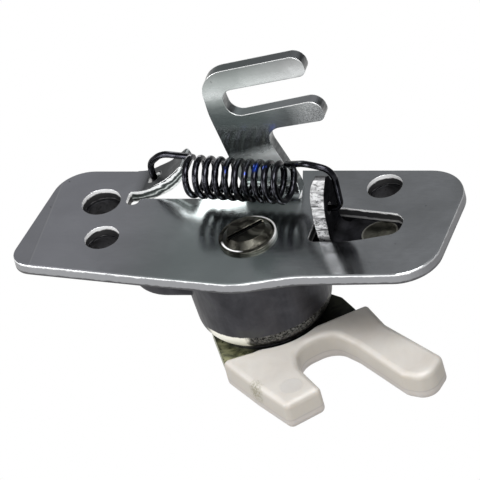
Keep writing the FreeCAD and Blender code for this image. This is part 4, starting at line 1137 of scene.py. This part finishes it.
@dataclass
class ReturnSpring:
    """Torsion spring inside the cup; sizes in millimetres."""

    low: float = -18.0
    high: float = -8.2
    radius: float = 11.0
    wire: float = 0.9
    turns: float = 4.5
    start_angle: float = 150.0
    low_run: float = 4.0
    low_round: float = 1.8
    low_leg: float = 2.9
    high_run: float = 3.0
    high_out: float = 2.0
    high_round: float = 1.6
    high_leg: float = 4.7

    def build(self, material: bpy.types.Material) -> bpy.types.Object:
        """Wind the spring between the cup's floor and the disc.

        Args:
            material: Its finish.

        Returns:
            The spring as a mesh.
        """
        angle = math.radians(self.start_angle)
        side = Vector((math.cos(angle), math.sin(angle), 0.0))
        axis = Vector((0.0, 0.0, 1.0))
        across = axis.cross(side)
        base = Vector((0.0, 0.0, self.low))
        start = base + side * self.radius
        end = Vector((0.0, 0.0, self.high)) - side * self.radius
        low_turn = start - across * self.low_run
        high_turn = end - across * self.high_run + side * self.high_out
        coil = CoilSpring("torsion_spring", base=base, axis=axis, side=side, long=self.high - self.low,
                          radius=self.radius, wire=self.wire, turns=self.turns,
                          head=[(low_turn, self.low_round)], head_end=low_turn - axis * self.low_leg,
                          tail=[(high_turn, self.high_round)], tail_end=high_turn + axis * self.high_leg)
        spring = coil.build(material)
        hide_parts("return_spring")
        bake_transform(spring)
        return spring


@dataclass
class PlateGroup:
    """Plate with its bushes, nuts and the deep housing."""

    nuts: Sequence[str] = ("weld_nut_rear_left", "weld_nut_front_left", "weld_nut_right")

    def dress(self, finishes: Wardrobe) -> None:
        """Give plate, housing, bushes and nuts their finishes.

        Args:
            finishes: The finishes of the lock.
        """
        smooth(dress("base_plate", finishes.zinc))
        smooth(dress("housing", finishes.drawn))
        smooth(dress("upper_bush", finishes.bush))
        smooth(dress("lower_bush", finishes.bush))
        for nut in self.nuts:
            smooth(dress(nut, finishes.dark))


@dataclass
class ClawGroup:
    """Shaft, disc and claw that turn together."""

    steel: Sequence[str] = ("ratchet_disc", "spacer_sleeve", "claw_washer")
    turned: Sequence[str] = ("claw_shaft", "head_washer", "end_washer")

    def dress(self, finishes: Wardrobe) -> None:
        """Give shaft, disc, claw and cover their finishes.

        Args:
            finishes: The finishes of the lock.
        """
        for node in self.steel:
            smooth(dress(node, finishes.dark))
        for node in self.turned:
            smooth(dress(node, finishes.head))
        smooth(dress("claw_core", finishes.core))
        smooth(dress("claw_cover", finishes.cream))


@dataclass
class PawlGroup:
    """Ear, slide and rivet that draw back together."""

    def dress(self, finishes: Wardrobe) -> None:
        """Give ear, slide and rivet their finishes.

        Args:
            finishes: The finishes of the lock.
        """
        smooth(dress("ear_bracket", finishes.ear))
        smooth(dress("pawl_slide", finishes.dark))
        smooth(dress("ear_rivet", finishes.rivet))


@dataclass
class Lamp:
    """One soft studio light; place and size in millimetres."""

    name: str
    place: Sequence[float]
    wide: float
    high: float
    power: float
    aim: Sequence[float] = (0.0, 0.0, 0.0)

    def build(self) -> bpy.types.Object:
        """Add the light, aimed at its target.

        Returns:
            The light.
        """
        bpy.ops.object.light_add(type="AREA")
        lamp = bpy.context.object
        lamp.name = self.name
        lamp.location = Vector(self.place) * MM
        way = (Vector(self.aim) - Vector(self.place)).normalized()
        lamp.rotation_euler = way.to_track_quat("-Z", "Y").to_euler()
        lamp.data.shape = "RECTANGLE"
        lamp.data.size = self.wide * MM
        lamp.data.size_y = self.high * MM
        lamp.data.energy = self.power
        lamp.visible_camera = False
        return lamp


@dataclass
class Studio:
    """White picture background with a grey room that only light and reflections see."""

    strength: float = 1.6
    # The grey room by height, from straight below to straight above.
    levels: Sequence[tuple[float, str]] = (
        (0.0, "#b0b0b0"), (0.22, "#bebdbb"), (0.42, "#949494"), (0.56, "#747575"), (0.80, "#737476"),
        (0.92, "#858688"), (1.0, "#b4b4b4"))
    # The card is what the plate mirrors beside the spring; the rest are soft lights.
    lights: Sequence[Lamp] = (
        Lamp("key", place=(130.0, -95.0, 330.0), wide=220.0, high=160.0, power=1.1),
        Lamp("front", place=(20.0, -330.0, 10.0), wide=160.0, high=90.0, power=0.20),
        Lamp("eye", place=(138.0, -289.0, 240.0), wide=60.0, high=60.0, power=0.15),
        Lamp("rim", place=(-138.0, -360.0, 104.0), wide=80.0, high=40.0, power=0.06),
        Lamp("left", place=(-260.0, -140.0, 90.0), wide=110.0, high=160.0, power=0.5),
        Lamp("fill", place=(90.0, -300.0, 150.0), wide=220.0, high=90.0, power=0.30, aim=(10.0, -10.0, -20.0)),
        Lamp("card", place=(-20.1, 31.6, 18.0), wide=19.0, high=4.6, power=0.0012, aim=(-11.5, 13.5, 3.0)))
    # The picture's axes, its width, and its middle seen from the middle of the plate's top.
    picture_right: Sequence[float] = (0.939, 0.264, -0.220)
    picture_up: Sequence[float] = (0.0, 0.640, 0.769)
    picture_mm: float = 120.0
    plate_middle_mm: Sequence[float] = (0.0, 0.0, 3.0)
    off_right_mm: float = 2.0
    off_up_mm: float = 0.75
    away_mm: float = 400.0
    near_m: float = 0.001
    far_m: float = 10.0

    def world(self) -> None:
        """Build the background: white to the camera, a graded room to everything else."""
        world = bpy.data.worlds.new("studio")
        bpy.context.scene.world = world
        world.use_nodes = True
        tree = world.node_tree
        tree.nodes.clear()
        coords = put(tree, "TexCoord")
        level = put(tree, "SeparateXYZ", [coords.outputs["Generated"]]).outputs["Z"]
        room = put(tree, "ValToRGB", [put(tree, "MapRange", [level, -1.0, 1.0])], stops=self.levels)
        path = put(tree, "LightPath")
        seen = put(tree, "Background", {"Color": (1.0, 1.0, 1.0, 1.0), "Strength": 1.0})
        felt = put(tree, "Background", {"Color": room, "Strength": self.strength})
        mixed = put(tree, "MixShader", [path.outputs["Is Camera Ray"], felt, seen])
        put(tree, "OutputWorld", {"Surface": mixed})

    def lamps(self) -> None:
        """Add the card and the soft lights."""
        for light in self.lights:
            light.build()

    def camera(self) -> bpy.types.Object:
        """Add the long-lens camera that matches the picture.

        Returns:
            The camera.
        """
        right = Vector(self.picture_right).normalized()
        up = Vector(self.picture_up).normalized()
        back = right.cross(up).normalized()
        up = back.cross(right).normalized()
        bpy.ops.object.camera_add()
        camera = bpy.context.object
        camera.name = "picture"
        camera.data.type = "ORTHO"
        camera.data.ortho_scale = self.picture_mm * MM
        camera.data.clip_start = self.near_m
        camera.data.clip_end = self.far_m
        centre = Vector(self.plate_middle_mm) - right * self.off_right_mm - up * self.off_up_mm
        place = (centre + back * self.away_mm) * MM
        turn = Matrix((right, up, back)).transposed().to_4x4()
        camera.matrix_world = Matrix.Translation(place) @ turn
        bpy.context.scene.camera = camera
        return camera


def main() -> None:
    """Dress the lock, light it and set the camera."""
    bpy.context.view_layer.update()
    finishes = Wardrobe()
    PlateGroup().dress(finishes)
    ClawGroup().dress(finishes)
    PawlGroup().dress(finishes)
    PawlSpring().build(finishes.wire)
    ReturnSpring().build(finishes.wire)
    studio = Studio()
    studio.world()
    studio.lamps()
    studio.camera()
    bpy.context.scene.view_settings.view_transform = "Standard"


if __name__ == "__main__":
    main()
